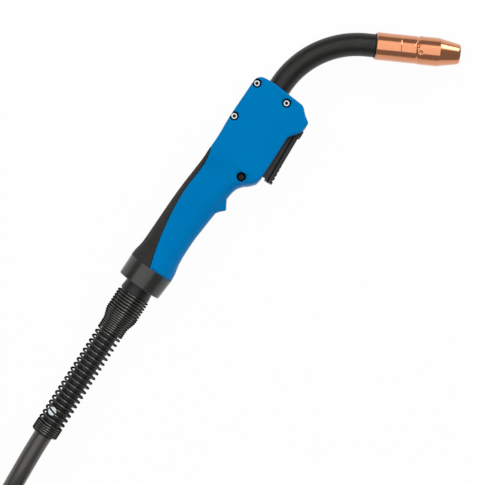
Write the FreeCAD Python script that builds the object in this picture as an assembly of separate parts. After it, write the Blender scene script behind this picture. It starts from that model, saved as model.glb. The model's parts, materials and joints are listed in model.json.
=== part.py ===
import FreeCAD, Part
import math
import os
from FreeCAD import Vector

# MIG welding torch, lying on its side, in millimetres.
# While it is drawn, +X runs along the handle towards the nozzle, +Y points to the back of the
# grip, +Z is up, and the zero is near the collar's rear face, on the parting plane of the
# handle. Every piece is then moved, so that the origin ends on the floor under the middle of
# the torch.
ORIGIN = Vector(80.97, -49.81, -19.75)

# Driving sizes
HALF_HEAD = 19.75           # half the thickness of the handle's head, which lies on the floor
CABLE_R = 7.7
NECK_R = 9.5
NECK_BEND = 62.85           # degrees between the handle and the nozzle
NECK_BEND_R = 75.0          # radius of the neck's centreline
NECK_Y = -7.45              # the neck's axis where it leaves the handle
NOZZLE_LENGTH = 68.7
WALL = 3.0                  # the handle's moulded wall
SKIN = 2.0                  # thickness of the soft grip
GROOVE = 0.4                # gap between the soft grip and the blue shell
PARTING = 0.1               # each shell stops this far from the parting plane
SLIP = 0.05                 # gap between round pieces that are fixed to each other


def outline(corners, place=lambda u, v: Vector(u, v, 0)):
    """Closed wire through (u, v, radius) corners, each rounded by its radius."""
    def point(corner):
        return Vector(corner[0], corner[1], 0)

    stops = []
    count = len(corners)
    for i, corner in enumerate(corners):
        here = point(corner)
        back = (point(corners[i - 1]) - here).normalize()
        ahead = (point(corners[(i + 1) % count]) - here).normalize()
        radius = corner[2]
        if radius == 0:
            stops.append((here, here, here))
            continue
        half = back.getAngle(ahead) / 2
        reach = radius / math.tan(half)
        middle = here + (back + ahead).normalize() * (radius / math.sin(half) - radius)
        stops.append((here + back * reach, middle, here + ahead * reach))

    def put(p):
        return place(p.x, p.y)

    edges = []
    for i, (start, middle, end) in enumerate(stops):
        if (end - start).Length > 1e-6:
            edges.append(Part.Arc(put(start), put(middle), put(end)).toShape())
        following = stops[(i + 1) % count][0]
        if (following - end).Length > 1e-6:
            edges.append(Part.LineSegment(put(end), put(following)).toShape())
    return Part.Wire(edges)


def prism(wire, low, high):
    """A flat outline in the XY plane made solid between two heights."""
    face = Part.Face(wire)
    face.translate(Vector(0, 0, low))
    return face.extrude(Vector(0, 0, high - low))


def block(x0, x1, y0, y1, z0, z1):
    return Part.makeBox(x1 - x0, y1 - y0, z1 - z0, Vector(x0, y0, z0))


def cylinder(radius, start, end):
    along = end - start
    return Part.makeCylinder(radius, along.Length, start, along)


def turned(profile):
    """Solid turned about the X axis from (along, radius) points."""
    points = [Vector(s, r, 0) for s, r in profile]
    face = Part.Face(Part.makePolygon(points + points[:1]))
    return face.revolve(Vector(0, 0, 0), Vector(1, 0, 0), 360)


def placed(shape, origin, heading):
    """Moves a piece drawn along +X to an origin, turned by heading degrees about Z."""
    moved = shape.copy()
    turn = FreeCAD.Placement(origin, FreeCAD.Rotation(Vector(0, 0, 1), heading))
    moved.Placement = turn.multiply(moved.Placement)
    return moved


def loft(wires, straight=False):
    """Solid through a row of wires, with a smooth or a straight run between them."""
    return Part.makeLoft(wires, True, straight)


def fused(shapes):
    return shapes[0].fuse(shapes[1:]).removeSplitter()


# Wires along routes: straight runs joined by arcs, or turns made of arc pairs

RUN_SHARE = 0.45            # an arc's tangent takes this share of the shorter run beside it


def route(points, report=None):
    """Straight runs joined by the largest tangent arcs that their lengths allow."""
    edges = []
    radii = []
    here = points[0]
    for before, corner, after in zip(points, points[1:], points[2:]):
        back = (before - corner).normalize()
        ahead = (after - corner).normalize()
        shorter = min((before - corner).Length, (after - corner).Length)
        reach = RUN_SHARE * shorter
        half = back.getAngle(ahead) / 2
        radius = reach * math.tan(half)
        middle = corner + (back + ahead).normalize() * (radius / math.sin(half) - radius)
        start = corner + back * reach
        end = corner + ahead * reach
        edges.append(Part.LineSegment(here, start).toShape())
        edges.append(Part.Arc(start, middle, end).toShape())
        radii.append(radius)
        here = end
    edges.append(Part.LineSegment(here, points[-1]).toShape())
    if report:
        print(report, "radii", [round(r) for r in radii])
    return Part.Wire(edges)


def rod(wire, radius, report=None):
    """A round rod swept along a wire, with its volume set against section times length."""
    start = wire.OrderedVertexes[0].Point
    first = wire.OrderedEdges[0]
    along = first.tangentAt(first.FirstParameter)
    if (first.valueAt(first.FirstParameter) - start).Length > 1e-6:
        along = -first.tangentAt(first.LastParameter)
    section = Part.Wire(Part.makeCircle(radius, start, along))
    solid = wire.makePipeShell([section], True, False)
    if report:
        expected = math.pi * radius ** 2 * wire.Length
        print(report, "length", round(wire.Length, 1), "volume ratio", round(solid.Volume / expected, 4))
    return solid


def arc_from(start, end, tangent):
    """The arc from start to end that leaves along tangent."""
    chord = end - start
    length = chord.Length
    across = Vector(chord).normalize()
    turn = tangent.getAngle(across)
    side = tangent - across * across.dot(tangent)
    if side.Length < 1e-9:
        return Part.LineSegment(start, end)
    side.normalize()
    middle = (start + end) * 0.5 + side * (length / 2 * math.tan(turn / 2))
    return Part.Arc(start, middle, end)


def arc_pair(p0, t0, p1, t1):
    """Two arcs, tangent to each other, from p0 along t0 to p1 along t1."""
    gap = p1 - p0
    both = t0 + t1
    square = 2 * (1 - t0.dot(t1))
    lean = gap.dot(both)
    if square < 1e-9:
        reach = gap.dot(gap) / (2 * lean)
    else:
        reach = (math.sqrt(lean ** 2 + square * gap.dot(gap)) - lean) / square
    q0 = p0 + t0 * reach
    q1 = p1 - t1 * reach
    joint = (q0 + q1) * 0.5
    between = (q1 - q0).normalize()
    return [arc_from(p0, joint, t0), arc_from(joint, p1, between)]


def tangent_of(curve, t):
    step = 1e-5
    return (curve(t + step) - curve(t - step)).normalize()


def turns(curve, first, last, per_turn, lead):
    """A wire along the turns of a curve, with a straight lead at each end."""
    steps = round((last - first) * per_turn)
    stops = [first + (last - first) * i / steps for i in range(steps + 1)]
    start = curve(first)
    end = curve(last)
    edges = [Part.LineSegment(start - tangent_of(curve, first) * lead, start).toShape()]
    for a, b in zip(stops, stops[1:]):
        for piece in arc_pair(curve(a), tangent_of(curve, a), curve(b), tangent_of(curve, b)):
            edges.append(piece.toShape())
    edges.append(Part.LineSegment(end, end + tangent_of(curve, last) * lead).toShape())
    return Part.Wire(edges)


def least_gap(curve, first, last, radius, per_turn=60):
    """The least gap between a wound wire and itself, measured on points of its centreline."""
    count = round((last - first) * per_turn)
    points = [curve(first + (last - first) * i / count) for i in range(count + 1)]
    nearest = 1e9
    for i, p in enumerate(points):
        for q in points[i + per_turn // 2:i + 5 * per_turn // 2]:
            nearest = min(nearest, p.distanceToPoint(q))
    return nearest - 2 * radius


# Handle: its outer form is a lofted grip, a flat-sided head and a small spur under the grip

HEAD_EDGE = 2.2             # rounding of the head's long edges

# Sections of the grip: place along X, low edge, high edge, half width, corner radii low and high
GRIP = [
    (15.0, -19.6, 20.0, 19.6, 19.2, 19.2),
    (22.0, -19.15, 19.5, 18.9, 18.2, 18.2),
    (31.0, -17.4, 17.75, 17.2, 16.2, 16.2),
    (42.0, -16.75, 17.4, 16.6, 15.2, 15.2),
    (54.0, -16.95, 17.15, 16.3, 14.8, 14.8),
    (66.0, -18.0, 16.85, 16.5, 14.6, 14.4),
    (76.0, -18.85, 16.5, 16.8, 14.5, 14.0),
    (89.0, -20.3, 15.6, 17.6, 13.5, 12.5),
    (99.0, -21.1, 14.65, 17.0, 12.0, 11.0),
    (107.0, -22.4, 13.9, 16.9, 10.5, 9.5),
    (113.0, -26.3, 13.2, 17.6, 8.5, 8.0),
    (118.0, -32.0, 12.85, 18.7, 6.5, 6.0),
    (123.0, -35.2, 12.8, 19.4, 4.5, 4.0),
    (128.0, -35.48, 12.3, 19.7, 2.8, 2.6),
    (133.0, -35.5, 12.1, HALF_HEAD, HEAD_EDGE, HEAD_EDGE),
]
GRIP_CUTS = 30              # sections are cut at this many even steps
LEAST_ROUNDING = 1.5        # of the corners inside the grip
# Side view of the head, from its top rear corner on: x, y, corner radius
HEAD = [
    (133.0, 12.1, 0),
    (139.6, 12.1, 60.0),
    (151.5, 13.0, 200.0),
    (195.2, 12.1, 7.2),
    (196.5, -1.3, 60.0),
    (193.9, -32.2, 7.0),
    (188.1, -38.1, 3.5),
    (184.3, -43.6, 2.3),
    (175.4, -42.6, 2.4),
    (166.4, -35.5, 6.0),
    (133.0, -35.5, 0),
]
# Sections of the spur, level cuts from the grip down: y, x from, x to, half width, corner radius
SPUR = [
    (-16.0, 77.0, 104.0, 11.0, 6.0),
    (-20.2, 83.8, 99.0, 9.5, 4.0),
    (-22.8, 86.8, 94.2, 7.5, 2.2),
    (-25.1, 88.9, 90.4, 5.5, 0.6),
]
# Line between the soft grip, above it, and the blue shell, below it, from the collar on
GRIP_LINE = [
    (10.0, -2.4), (16.5, -0.3), (30.0, 3.8), (50.0, 8.0), (70.0, 10.6),
    (90.0, 11.0), (110.0, 9.2), (119.0, 10.0), (126.5, 12.3), (131.0, 15.0),
]
# The collar's axis leans a little against the handle's
COLLAR_REAR = Vector(-0.75, 0.85, 0)
COLLAR_FRONT = Vector(16.9, 0.1, 0)
COLLAR_LENGTH = (COLLAR_FRONT - COLLAR_REAR).Length
COLLAR_LEAN = math.degrees(math.atan2(COLLAR_FRONT.y - COLLAR_REAR.y, COLLAR_FRONT.x - COLLAR_REAR.x))
SPIGOT_START = 6.4          # along the collar's axis
SPIGOT_R = 16.4
SPIGOT_BORE_R = 13.0
CAVITY_FROM_X = 21.0        # the grip's hollow starts here, in front of the spigot
HEAD_WALL = 2.6
HEAD_HOLLOW_BACK = 5.0      # the head's hollow starts this far behind the head's rear end


def grip_section(x, low, high, half, round_low, round_high):
    corners = [
        (-half, low, round_low), (half, low, round_low),
        (half, high, round_high), (-half, high, round_high),
    ]
    return outline(corners, lambda u, v: Vector(x, v, u))


def eased_slope(before, after):
    """Slope at a station between two spans, without overshoot."""
    if before * after <= 0:
        return 0.0
    return 2 * before * after / (before + after)


def grip_at(x):
    """The grip's five section values at x, smoothly between the stations of GRIP."""
    last = len(GRIP) - 2
    i = min(last, max(k for k in range(last + 1) if GRIP[k][0] <= x + 1e-6))
    width = GRIP[i + 1][0] - GRIP[i][0]
    u = (x - GRIP[i][0]) / width
    values = []
    for column in range(1, 6):
        def span(k):
            if k > last:
                return 0.0
            k = max(k, 0)
            return (GRIP[k + 1][column] - GRIP[k][column]) / (GRIP[k + 1][0] - GRIP[k][0])
        leave = eased_slope(span(i - 1), span(i)) * width
        arrive = eased_slope(span(i), span(i + 1)) * width
        start = GRIP[i][column]
        end = GRIP[i + 1][column]
        values.append(
            start + u * leave + u * u * (3 * (end - start) - 2 * leave - arrive)
            + u ** 3 * (leave + arrive - 2 * (end - start)))
    return values


def grip_outside():
    start = GRIP[0][0]
    step = (GRIP[-1][0] - start) / GRIP_CUTS
    places = [start + step * i for i in range(GRIP_CUTS + 1)]
    return loft([grip_section(x, *grip_at(x)) for x in places], True)


def grip_inside(inset):
    sections = []
    for x, low, high, half, round_low, round_high in GRIP:
        sections.append(grip_section(
            x, low + inset, high - inset, half - inset,
            max(round_low - inset, LEAST_ROUNDING), max(round_high - inset, LEAST_ROUNDING)))
    return loft(sections, True)


def spur_body():
    sections = []
    for y, x0, x1, half, radius in SPUR:
        corners = [(x0, -half, radius), (x1, -half, radius), (x1, half, radius), (x0, half, radius)]
        sections.append(outline(corners, lambda u, v, y=y: Vector(u, y, v)))
    return loft(sections)


def head_body():
    solid = prism(outline(HEAD), -HALF_HEAD, HALF_HEAD)
    long_edges = []
    for edge in solid.Edges:
        box = edge.BoundBox
        if box.ZLength < 1e-6 and box.XMax > HEAD[0][0] + 1e-3:
            long_edges.append(edge)
    return solid.makeFillet(HEAD_EDGE, long_edges)


def head_hollow():
    """The head's inner space, reaching back into the hollow of the grip."""
    back = HEAD[0][0] - HEAD_HOLLOW_BACK - HEAD_WALL
    corners = [(back, y, r) if r == 0 else (x, y, r) for x, y, r in HEAD]
    wire = outline(corners).makeOffset2D(-HEAD_WALL)
    return prism(wire, HEAD_WALL - HALF_HEAD, HALF_HEAD - HEAD_WALL)


def spigot(radius, start):
    """The handle's round rear end, inside the collar."""
    solid = cylinder(radius, Vector(start, 0, 0), Vector(COLLAR_LENGTH + 6.0, 0, 0))
    return placed(solid, COLLAR_REAR, COLLAR_LEAN)


def above_grip_line(shift):
    """Everything on the back of the handle above the grip line, moved up by shift."""
    line = Part.BSplineCurve()
    line.interpolate([Vector(x, y + shift, 0) for x, y in GRIP_LINE])
    x0, y0 = GRIP_LINE[0]
    x1, y1 = GRIP_LINE[-1]
    top = 40.0
    sides = Part.makePolygon([
        Vector(x1, y1 + shift, 0), Vector(x1, top, 0), Vector(x0, top, 0), Vector(x0, y0 + shift, 0)])
    return prism(Part.Wire([line.toShape()] + sides.Edges), -30.0, 30.0)


# Screws through the handle
SCREWS = [Vector(156.6, 9.8, 0), Vector(188.6, 8.8, 0), Vector(188.1, -19.9, 0)]
DEEP_SCREW = Vector(118.7, -21.6, 0)
COUNTERBORE_R = 3.75
COUNTERBORE_FLOOR = HALF_HEAD - 3.2
DEEP_FLOOR = HALF_HEAD - 7.5
SCREW_R = 1.5
SCREW_HEAD_R = 2.65
SCREW_HEAD = 1.9
SCREW_END = -12.0
SOCKET_R = 1.25
BOSS_R = 4.6

# Trigger pocket in the head's lower side
POCKET = (129.0, 178.3, -50.0, -30.0)         # x from, x to, y from, y to
POCKET_HALF = 9.4
LEVER_RELIEF = (126.4, 130.0, -50.0, -33.9)    # room for the lever's rear end when it is pressed
LEVER_RELIEF_HALF = 8.2
NECK_EXIT_R = NECK_R + SLIP


def handle_shells():
    """The two blue shells and their soft grips, split on the parting plane."""
    under_collar = placed(block(-50, COLLAR_LENGTH + SLIP, -60, 60, -60, 60), COLLAR_REAR, COLLAR_LEAN)
    body = fused([grip_outside(), head_body(), spur_body()]).cut(under_collar)
    skin_seat = grip_inside(SKIN)
    grips = body.common(above_grip_line(GROOVE)).cut(skin_seat)
    hollow = grip_inside(WALL).cut(block(0, CAVITY_FROM_X, -40, 40, -40, 40)).fuse(head_hollow())
    for place in SCREWS + [DEEP_SCREW]:
        hollow = hollow.cut(cylinder(BOSS_R, place + Vector(0, 0, -30), place + Vector(0, 0, 30)))
    shell = body.cut(above_grip_line(0).cut(skin_seat)).cut(hollow)
    shell = shell.fuse(spigot(SPIGOT_R, SPIGOT_START)).cut(spigot(SPIGOT_BORE_R, SPIGOT_START - 1))
    shell = shell.cut(block(*POCKET, -POCKET_HALF, POCKET_HALF))
    shell = shell.cut(block(*LEVER_RELIEF, -LEVER_RELIEF_HALF, LEVER_RELIEF_HALF))
    shell = shell.cut(cylinder(NECK_EXIT_R, Vector(JACKET_FROM_X, NECK_Y, 0), Vector(205, NECK_Y, 0)))
    up = Vector(0, 0, 1)
    for place, floor in [(p, COUNTERBORE_FLOOR) for p in SCREWS] + [(DEEP_SCREW, DEEP_FLOOR)]:
        shell = shell.cut(cylinder(COUNTERBORE_R, place + up * floor, place + up * 30))
        shell = shell.cut(cylinder(SCREW_R + SLIP, place + up * (SCREW_END - 1), place + up * 30))
    upper_half = block(-50, 250, -80, 60, PARTING, 60)
    lower_half = block(-50, 250, -80, 60, -60, -PARTING)
    keep("handle_shell_left", shell.common(upper_half))
    keep("handle_shell_right", shell.common(lower_half))
    keep("grip_overmold_left", grips.common(upper_half))
    keep("grip_overmold_right", grips.common(lower_half))


def socket_screw(place, floor):
    up = Vector(0, 0, 1)
    top = floor + SCREW_HEAD
    screw = cylinder(SCREW_R, place + up * SCREW_END, place + up * (floor + 0.1))
    screw = screw.fuse(cylinder(SCREW_HEAD_R, place + up * floor, place + up * top))
    screw = screw.cut(cylinder(SOCKET_R, place + up * (top - 1.2), place + up * (top + 1)))
    return screw.removeSplitter()


def handle_screws():
    keep("handle_screws", Part.Compound([socket_screw(p, COUNTERBORE_FLOOR) for p in SCREWS]))
    keep("recessed_screw", socket_screw(DEEP_SCREW, DEEP_FLOOR))


# Collar, spring seat and spring behind the handle
COLLAR_REAR_R = 19.1
COLLAR_FRONT_R = 19.75
COLLAR_WALL = 2.9
COLLAR_BORE_R = 13.5
SEAT_FLANGE_R = 16.0
SEAT_TUBE_R = 12.2
SPRING_FACE_X = -9.0
SLEEVE_R = 11.8             # of the seat's sleeve inside the spring's wide turns
SLEEVE_END_R = 9.2
SLEEVE_END_X = -40.0


def collar():
    rim = 0.35
    front_bore = SPIGOT_R + SLIP
    profile = [
        (0, COLLAR_BORE_R), (0, COLLAR_REAR_R - rim), (rim, COLLAR_REAR_R),
        (COLLAR_LENGTH, COLLAR_FRONT_R), (COLLAR_LENGTH, front_bore), (COLLAR_WALL, front_bore),
        (COLLAR_WALL, COLLAR_BORE_R),
    ]
    keep("collar", placed(turned(profile), COLLAR_REAR, COLLAR_LEAN))


def spring_seat():
    bore = CABLE_R + SLIP
    cone = turned([
        (SLEEVE_END_X, bore), (SLEEVE_END_X, SLEEVE_END_R), (SLEEVE_END_X + 4.0, SLEEVE_END_R),
        (SPRING_FACE_X - 16.5, SLEEVE_R), (SPRING_FACE_X, SLEEVE_R), (SPRING_FACE_X, 13.0),
        (-2.4, 12.3), (0.5, SEAT_TUBE_R), (8.0, SEAT_TUBE_R), (8.0, bore)])
    flange = placed(turned([
        (COLLAR_WALL + 0.1, 9.5), (COLLAR_WALL + 0.1, SEAT_FLANGE_R),
        (SPIGOT_START - 0.1, SEAT_FLANGE_R), (SPIGOT_START - 0.1, 9.5)]), COLLAR_REAR, COLLAR_LEAN)
    keep("spring_seat", cone.fuse(flange).removeSplitter())


# The spring's turns from the collar's end on: pitch and outer radius over each stretch
WIRE_R = 0.9
SPRING_OPEN_R = 11.3
SPRING_HEAD_R = 14.0
SPRING_STRETCHES = [
    # turns, pitch, outer radius at the stretch's end
    (6.2, 2.58, SPRING_HEAD_R),
    (0.6, 2.35, SPRING_HEAD_R),
    (5, 2.35, SPRING_OPEN_R),
    (3, 2.35, SPRING_OPEN_R),
    (19.4, 4.62, SPRING_OPEN_R),
    (4, 2.25, SPRING_OPEN_R),
]
SPRING_TURNS = sum(stretch[0] for stretch in SPRING_STRETCHES)
SPRING_START = 0.2          # of a turn, from the grip's back upwards


def eased(u):
    u = max(0.0, min(1.0, u))
    return u * u * (3 - 2 * u)


def spring_point(t):
    """The spring's centreline, t turns from the collar's end, turning left-handed about X."""
    x = SPRING_FACE_X - WIRE_R
    radius = SPRING_HEAD_R
    start = 0
    for count, pitch, after in SPRING_STRETCHES:
        part = t - start
        if start + count < SPRING_TURNS:
            part = min(part, count)
        x -= part * pitch
        radius += (after - radius) * eased(part / count)
        start += count
        if t < start:
            break
    angle = 2 * math.pi * (t + SPRING_START)
    middle = radius - WIRE_R
    return Vector(x, middle * math.cos(angle), middle * math.sin(angle))


def strain_relief_spring():
    wire = turns(spring_point, 0, SPRING_TURNS, 2, 2 * WIRE_R)
    print("spring turns", SPRING_TURNS, "end at x", round(spring_point(SPRING_TURNS).x, 2),
          "least gap", round(least_gap(spring_point, 0, SPRING_TURNS, WIRE_R), 2))
    keep("strain_relief_spring", rod(wire, WIRE_R, "spring"))


# Clamp at the spring's far end, with its slotted screw between two open turns
SPRING_END_X = -146.0
CLAMP_FROM_X = -143.0
CLAMP_TO_X = -119.0
CLAMP_R = 8.3
CLAMP_SCREW_X = -123.6
CLAMP_SCREW_TILT = 16.4     # degrees from straight up towards the back of the grip
CLAMP_HEAD_R = 3.45
CLAMP_HEAD_SIT = SPRING_OPEN_R + 0.15
CLAMP_HEAD = 1.5
CLAMP_SHANK_R = 1.0
SLOT_WIDTH = 1.4
SLOT_DEPTH = 0.9
SLOT_TURN = -14.6           # degrees about the screw's axis


def clamp():
    ring = turned([
        (CLAMP_FROM_X, CABLE_R + SLIP), (CLAMP_FROM_X, CLAMP_R),
        (CLAMP_TO_X, CLAMP_R), (CLAMP_TO_X, CABLE_R + SLIP)])
    tilt = math.radians(CLAMP_SCREW_TILT)
    out = Vector(0, math.sin(tilt), math.cos(tilt))
    foot = Vector(CLAMP_SCREW_X, 0, 0)
    hole = cylinder(CLAMP_SHANK_R + SLIP, foot + out * 7.0, foot + out * 12.0)
    keep("clamp_ring", ring.cut(hole))
    top = CLAMP_HEAD_SIT + CLAMP_HEAD
    screw = cylinder(CLAMP_SHANK_R, foot + out * (CABLE_R + 0.1), foot + out * (CLAMP_HEAD_SIT + 0.1))
    screw = screw.fuse(cylinder(CLAMP_HEAD_R, foot + out * CLAMP_HEAD_SIT, foot + out * top))
    slot = block(-SLOT_WIDTH / 2, SLOT_WIDTH / 2, -6, 6, top - SLOT_DEPTH, top + 2)
    slot.rotate(Vector(0, 0, 0), Vector(0, 0, 1), SLOT_TURN)
    slot.rotate(Vector(0, 0, 0), Vector(1, 0, 0), -CLAMP_SCREW_TILT)
    slot.translate(foot)
    keep("clamp_screw", screw.cut(slot).removeSplitter())


# Cable inside the torch, and the joint between cable and neck
CABLE_IN_TORCH = [
    Vector(SPRING_END_X, 0, 0), Vector(22.0, 0, 0), Vector(50.0, -3.0, 0),
    Vector(74.0, NECK_Y, 0), Vector(88.0, NECK_Y, 0),
]
CORE_R = 5.0                # the copper strands, crimped to a round core
CORE_FROM_X = 80.0
CORE_TO_X = 109.0
LINER_R = 2.5
LINER_BORE_R = 1.0
LINER_FROM_X = 82.0
CONDUCTOR_R = 5.95          # the neck's copper pipe
CONDUCTOR_BORE_R = 2.6
CONDUCTOR_FROM_X = 112.0
INSULATION_R = 7.0
CONNECTOR_FROM_X = 96.0
CONNECTOR_TO_X = 126.0
CONNECTOR_R = 8.6
CONNECTOR_EDGE = 0.5
END_PLAY = 0.1              # between the connector's inner wall and the ends that meet it
SET_SCREWS_X = (100.0, 105.0)
SET_SCREW_R = 1.9
JACKET_FROM_X = 150.0
NECK_ARC_X = 199.3
NECK_STRAIGHT = 6.9
PIPE_REACH = 22.0           # the pipe and the liner go on this far past the neck cover's end
NECK_NUT_FROM_X = 141.5
NECK_NUT_TO_X = 149.8
NECK_NUT_HALF = 10.0        # half the width across its flats


def neck_wire(start_x, extra):
    """The neck's centreline from start_x to its end, and extra millimetres past it."""
    bend = math.radians(NECK_BEND)
    start = Vector(start_x, NECK_Y, 0)
    corner = Vector(NECK_ARC_X, NECK_Y, 0)
    middle = corner + Vector(math.sin(bend / 2), math.cos(bend / 2) - 1, 0) * NECK_BEND_R
    end = corner + Vector(math.sin(bend), math.cos(bend) - 1, 0) * NECK_BEND_R
    away = Vector(math.cos(bend), -math.sin(bend), 0)
    return Part.Wire([
        Part.LineSegment(start, corner).toShape(),
        Part.Arc(corner, middle, end).toShape(),
        Part.LineSegment(end, end + away * (NECK_STRAIGHT + extra)).toShape()])


def neck_end():
    bend = math.radians(NECK_BEND)
    end = Vector(NECK_ARC_X, NECK_Y, 0) + Vector(math.sin(bend), math.cos(bend) - 1, 0) * NECK_BEND_R
    return end + Vector(math.cos(bend), -math.sin(bend), 0) * NECK_STRAIGHT


def neck_tube(outer, inner, start_x, extra):
    wire = neck_wire(start_x, extra)
    return rod(wire, outer).cut(rod(neck_wire(start_x - 1, extra + 1), inner))


def hexagon_nut(half, start, end, bore):
    """A hexagon nut about the neck's axis, between two places along X."""
    corners = [
        (half / math.cos(math.pi / 6) * math.cos(math.radians(a)),
         half / math.cos(math.pi / 6) * math.sin(math.radians(a)), 0) for a in range(0, 360, 60)]
    nut = Part.Face(outline(corners, lambda u, v: Vector(start, NECK_Y + v, u)))
    nut = nut.extrude(Vector(end - start, 0, 0))
    return nut.cut(cylinder(bore, Vector(start - 1, NECK_Y, 0), Vector(end + 1, NECK_Y, 0)))


def neck():
    keep("neck_jacket", neck_tube(NECK_R, INSULATION_R + SLIP, JACKET_FROM_X, 0))
    keep("neck_insulation", neck_tube(INSULATION_R, CONDUCTOR_R + SLIP, JACKET_FROM_X, 0))
    keep("neck_conductor", neck_tube(CONDUCTOR_R, CONDUCTOR_BORE_R, CONDUCTOR_FROM_X, PIPE_REACH))
    keep("wire_liner", neck_tube(LINER_R, LINER_BORE_R, LINER_FROM_X, PIPE_REACH))
    keep("neck_nut", hexagon_nut(NECK_NUT_HALF, NECK_NUT_FROM_X, NECK_NUT_TO_X, CONDUCTOR_R + SLIP))


def cable_in_torch():
    cable = rod(route(CABLE_IN_TORCH, "cable in torch"), CABLE_R, "cable in torch")
    start = Vector(CORE_FROM_X, NECK_Y, 0)
    past_end = CABLE_IN_TORCH[-1] + Vector(1, 0, 0)
    keep("cable_in_torch", cable.cut(cylinder(CORE_R + SLIP, start, past_end)))
    core = cylinder(CORE_R, start, Vector(CORE_TO_X, NECK_Y, 0))
    hollow = cylinder(CONDUCTOR_BORE_R, start + Vector(1, 0, 0), Vector(CORE_TO_X + 1, NECK_Y, 0))
    keep("cable_core", core.cut(hollow))


def cable_connector():
    wall_from = CORE_TO_X + END_PLAY
    wall_to = CONDUCTOR_FROM_X - END_PLAY
    body = turned([
        (CONNECTOR_FROM_X, CORE_R + SLIP), (CONNECTOR_FROM_X, CONNECTOR_R - CONNECTOR_EDGE),
        (CONNECTOR_FROM_X + CONNECTOR_EDGE, CONNECTOR_R), (CONNECTOR_TO_X - CONNECTOR_EDGE, CONNECTOR_R),
        (CONNECTOR_TO_X, CONNECTOR_R - CONNECTOR_EDGE), (CONNECTOR_TO_X, CONDUCTOR_R + SLIP),
        (wall_to, CONDUCTOR_R + SLIP), (wall_to, CONDUCTOR_BORE_R),
        (wall_from, CONDUCTOR_BORE_R), (wall_from, CORE_R + SLIP)])
    body.translate(Vector(0, NECK_Y, 0))
    screws = []
    for x in SET_SCREWS_X:
        foot = Vector(x, NECK_Y + CORE_R + END_PLAY, 0)
        tip = Vector(x, NECK_Y + CONNECTOR_R, 0)
        screws.append(cylinder(SET_SCREW_R, foot, tip))
        body = body.cut(cylinder(SET_SCREW_R + SLIP, foot - Vector(0, 1, 0), tip + Vector(0, 1, 0)))
    keep("cable_connector", body)
    keep("set_screws", Part.Compound(screws))


# Nozzle end, drawn along +X from the jacket's end and then set on the neck's axis
NOZZLE_FROM = 0.7
NOZZLE_TO = NOZZLE_FROM + NOZZLE_LENGTH
NOZZLE_R = 11.4
NOZZLE_FRONT_R = 11.7
NOZZLE_MOUTH_R = 8.05
NOZZLE_BORE_R = 6.35
NOZZLE_CHAMBER_R = 8.2
NOZZLE_SOCKET_R = 9.6
TAPER_FROM = 50.0
CRIMP_AT = 34.4
# Two staggered rows of punched dents: place along the nozzle and angle of the first from the top
DENT_ROWS = [(34.6, 17.0), (37.3, -10.0)]
DENTS_PER_ROW = 4
DENT_R = 2.0
DENT_DEPTH = 0.75
SLEEVE_FROM = 2.0           # the insulating sleeve in the nozzle's socket
SLEEVE_TO = CRIMP_AT - 0.9
SLEEVE_BORE_R = 8.35
INSERT_R = 8.3              # the brass sleeve inside it, which slides over the diffuser
INSERT_BORE_R = 7.6
CAP_R = 10.4                # rim of the neck's end cap
CAP_RIM = (0.05, 0.4)
CAP_SLEEVE_R = 7.2
CAP_TO = 13.6
DIFFUSER_FROM = 13.8
DIFFUSER_SHOULDER = 38.0
DIFFUSER_TO = 44.0
DIFFUSER_R = 7.25
DIFFUSER_NOSE_R = 5.8
PIPE_SOCKET_TO = 24.0
GAS_PASSAGE_R = 2.4
GAS_HOLES = 6
GAS_HOLE_R = 1.0
GAS_HOLES_AT = 30.0
TIP_THREAD_FROM = 35.5
TIP_THREAD_R = 3.1
RING_FROM = 19.4            # the split ring that grips the insert
RING_TO = 20.8
RING_R = 7.5
RING_SEAT_R = 6.6
RING_SPLIT = 2.0
TIP_FROM = 36.5
TIP_NECK_TO = 44.1
TIP_R = 4.0
TIP_CONE_FROM = 61.5
TIP_TO = 66.2
TIP_NOSE_R = 2.3
WIRE_BORE_R = 0.6


def on_neck(shape):
    return placed(shape, neck_end(), -NECK_BEND)


def nozzle():
    shell = turned([
        (NOZZLE_FROM, NOZZLE_SOCKET_R), (NOZZLE_FROM, NOZZLE_R - 0.6), (NOZZLE_FROM + 0.6, NOZZLE_R),
        (CRIMP_AT - 0.9, NOZZLE_R), (CRIMP_AT, NOZZLE_R - 0.35), (CRIMP_AT + 0.9, NOZZLE_FRONT_R - 0.1),
        (CRIMP_AT + 4.2, NOZZLE_FRONT_R), (TAPER_FROM, NOZZLE_FRONT_R),
        (TAPER_FROM + 5.0, NOZZLE_FRONT_R - 0.75), (NOZZLE_TO - 0.6, NOZZLE_MOUTH_R + 0.25),
        (NOZZLE_TO, NOZZLE_MOUTH_R - 0.4), (NOZZLE_TO, NOZZLE_BORE_R), (NOZZLE_TO - 6.5, NOZZLE_BORE_R),
        (TAPER_FROM, NOZZLE_CHAMBER_R), (CRIMP_AT - 0.6, NOZZLE_CHAMBER_R),
        (CRIMP_AT - 0.6, NOZZLE_SOCKET_R)])
    dents = []
    reach = NOZZLE_R + DENT_R - DENT_DEPTH
    for along, first in DENT_ROWS:
        for i in range(DENTS_PER_ROW):
            angle = math.radians(first + 360 * i / DENTS_PER_ROW)
            centre = Vector(along, reach * math.sin(angle), reach * math.cos(angle))
            dents.append(Part.makeSphere(DENT_R, centre))
    keep("nozzle", on_neck(shell.cut(dents)))
    keep("nozzle_insulator", on_neck(turned([
        (SLEEVE_FROM, SLEEVE_BORE_R), (SLEEVE_FROM, NOZZLE_SOCKET_R - SLIP),
        (SLEEVE_TO, NOZZLE_SOCKET_R - SLIP), (SLEEVE_TO, SLEEVE_BORE_R)])))
    keep("nozzle_insert", on_neck(turned([
        (SLEEVE_FROM + 1, INSERT_BORE_R), (SLEEVE_FROM + 1, INSERT_R),
        (SLEEVE_TO - 0.5, INSERT_R), (SLEEVE_TO - 0.5, INSERT_BORE_R)])))


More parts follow.
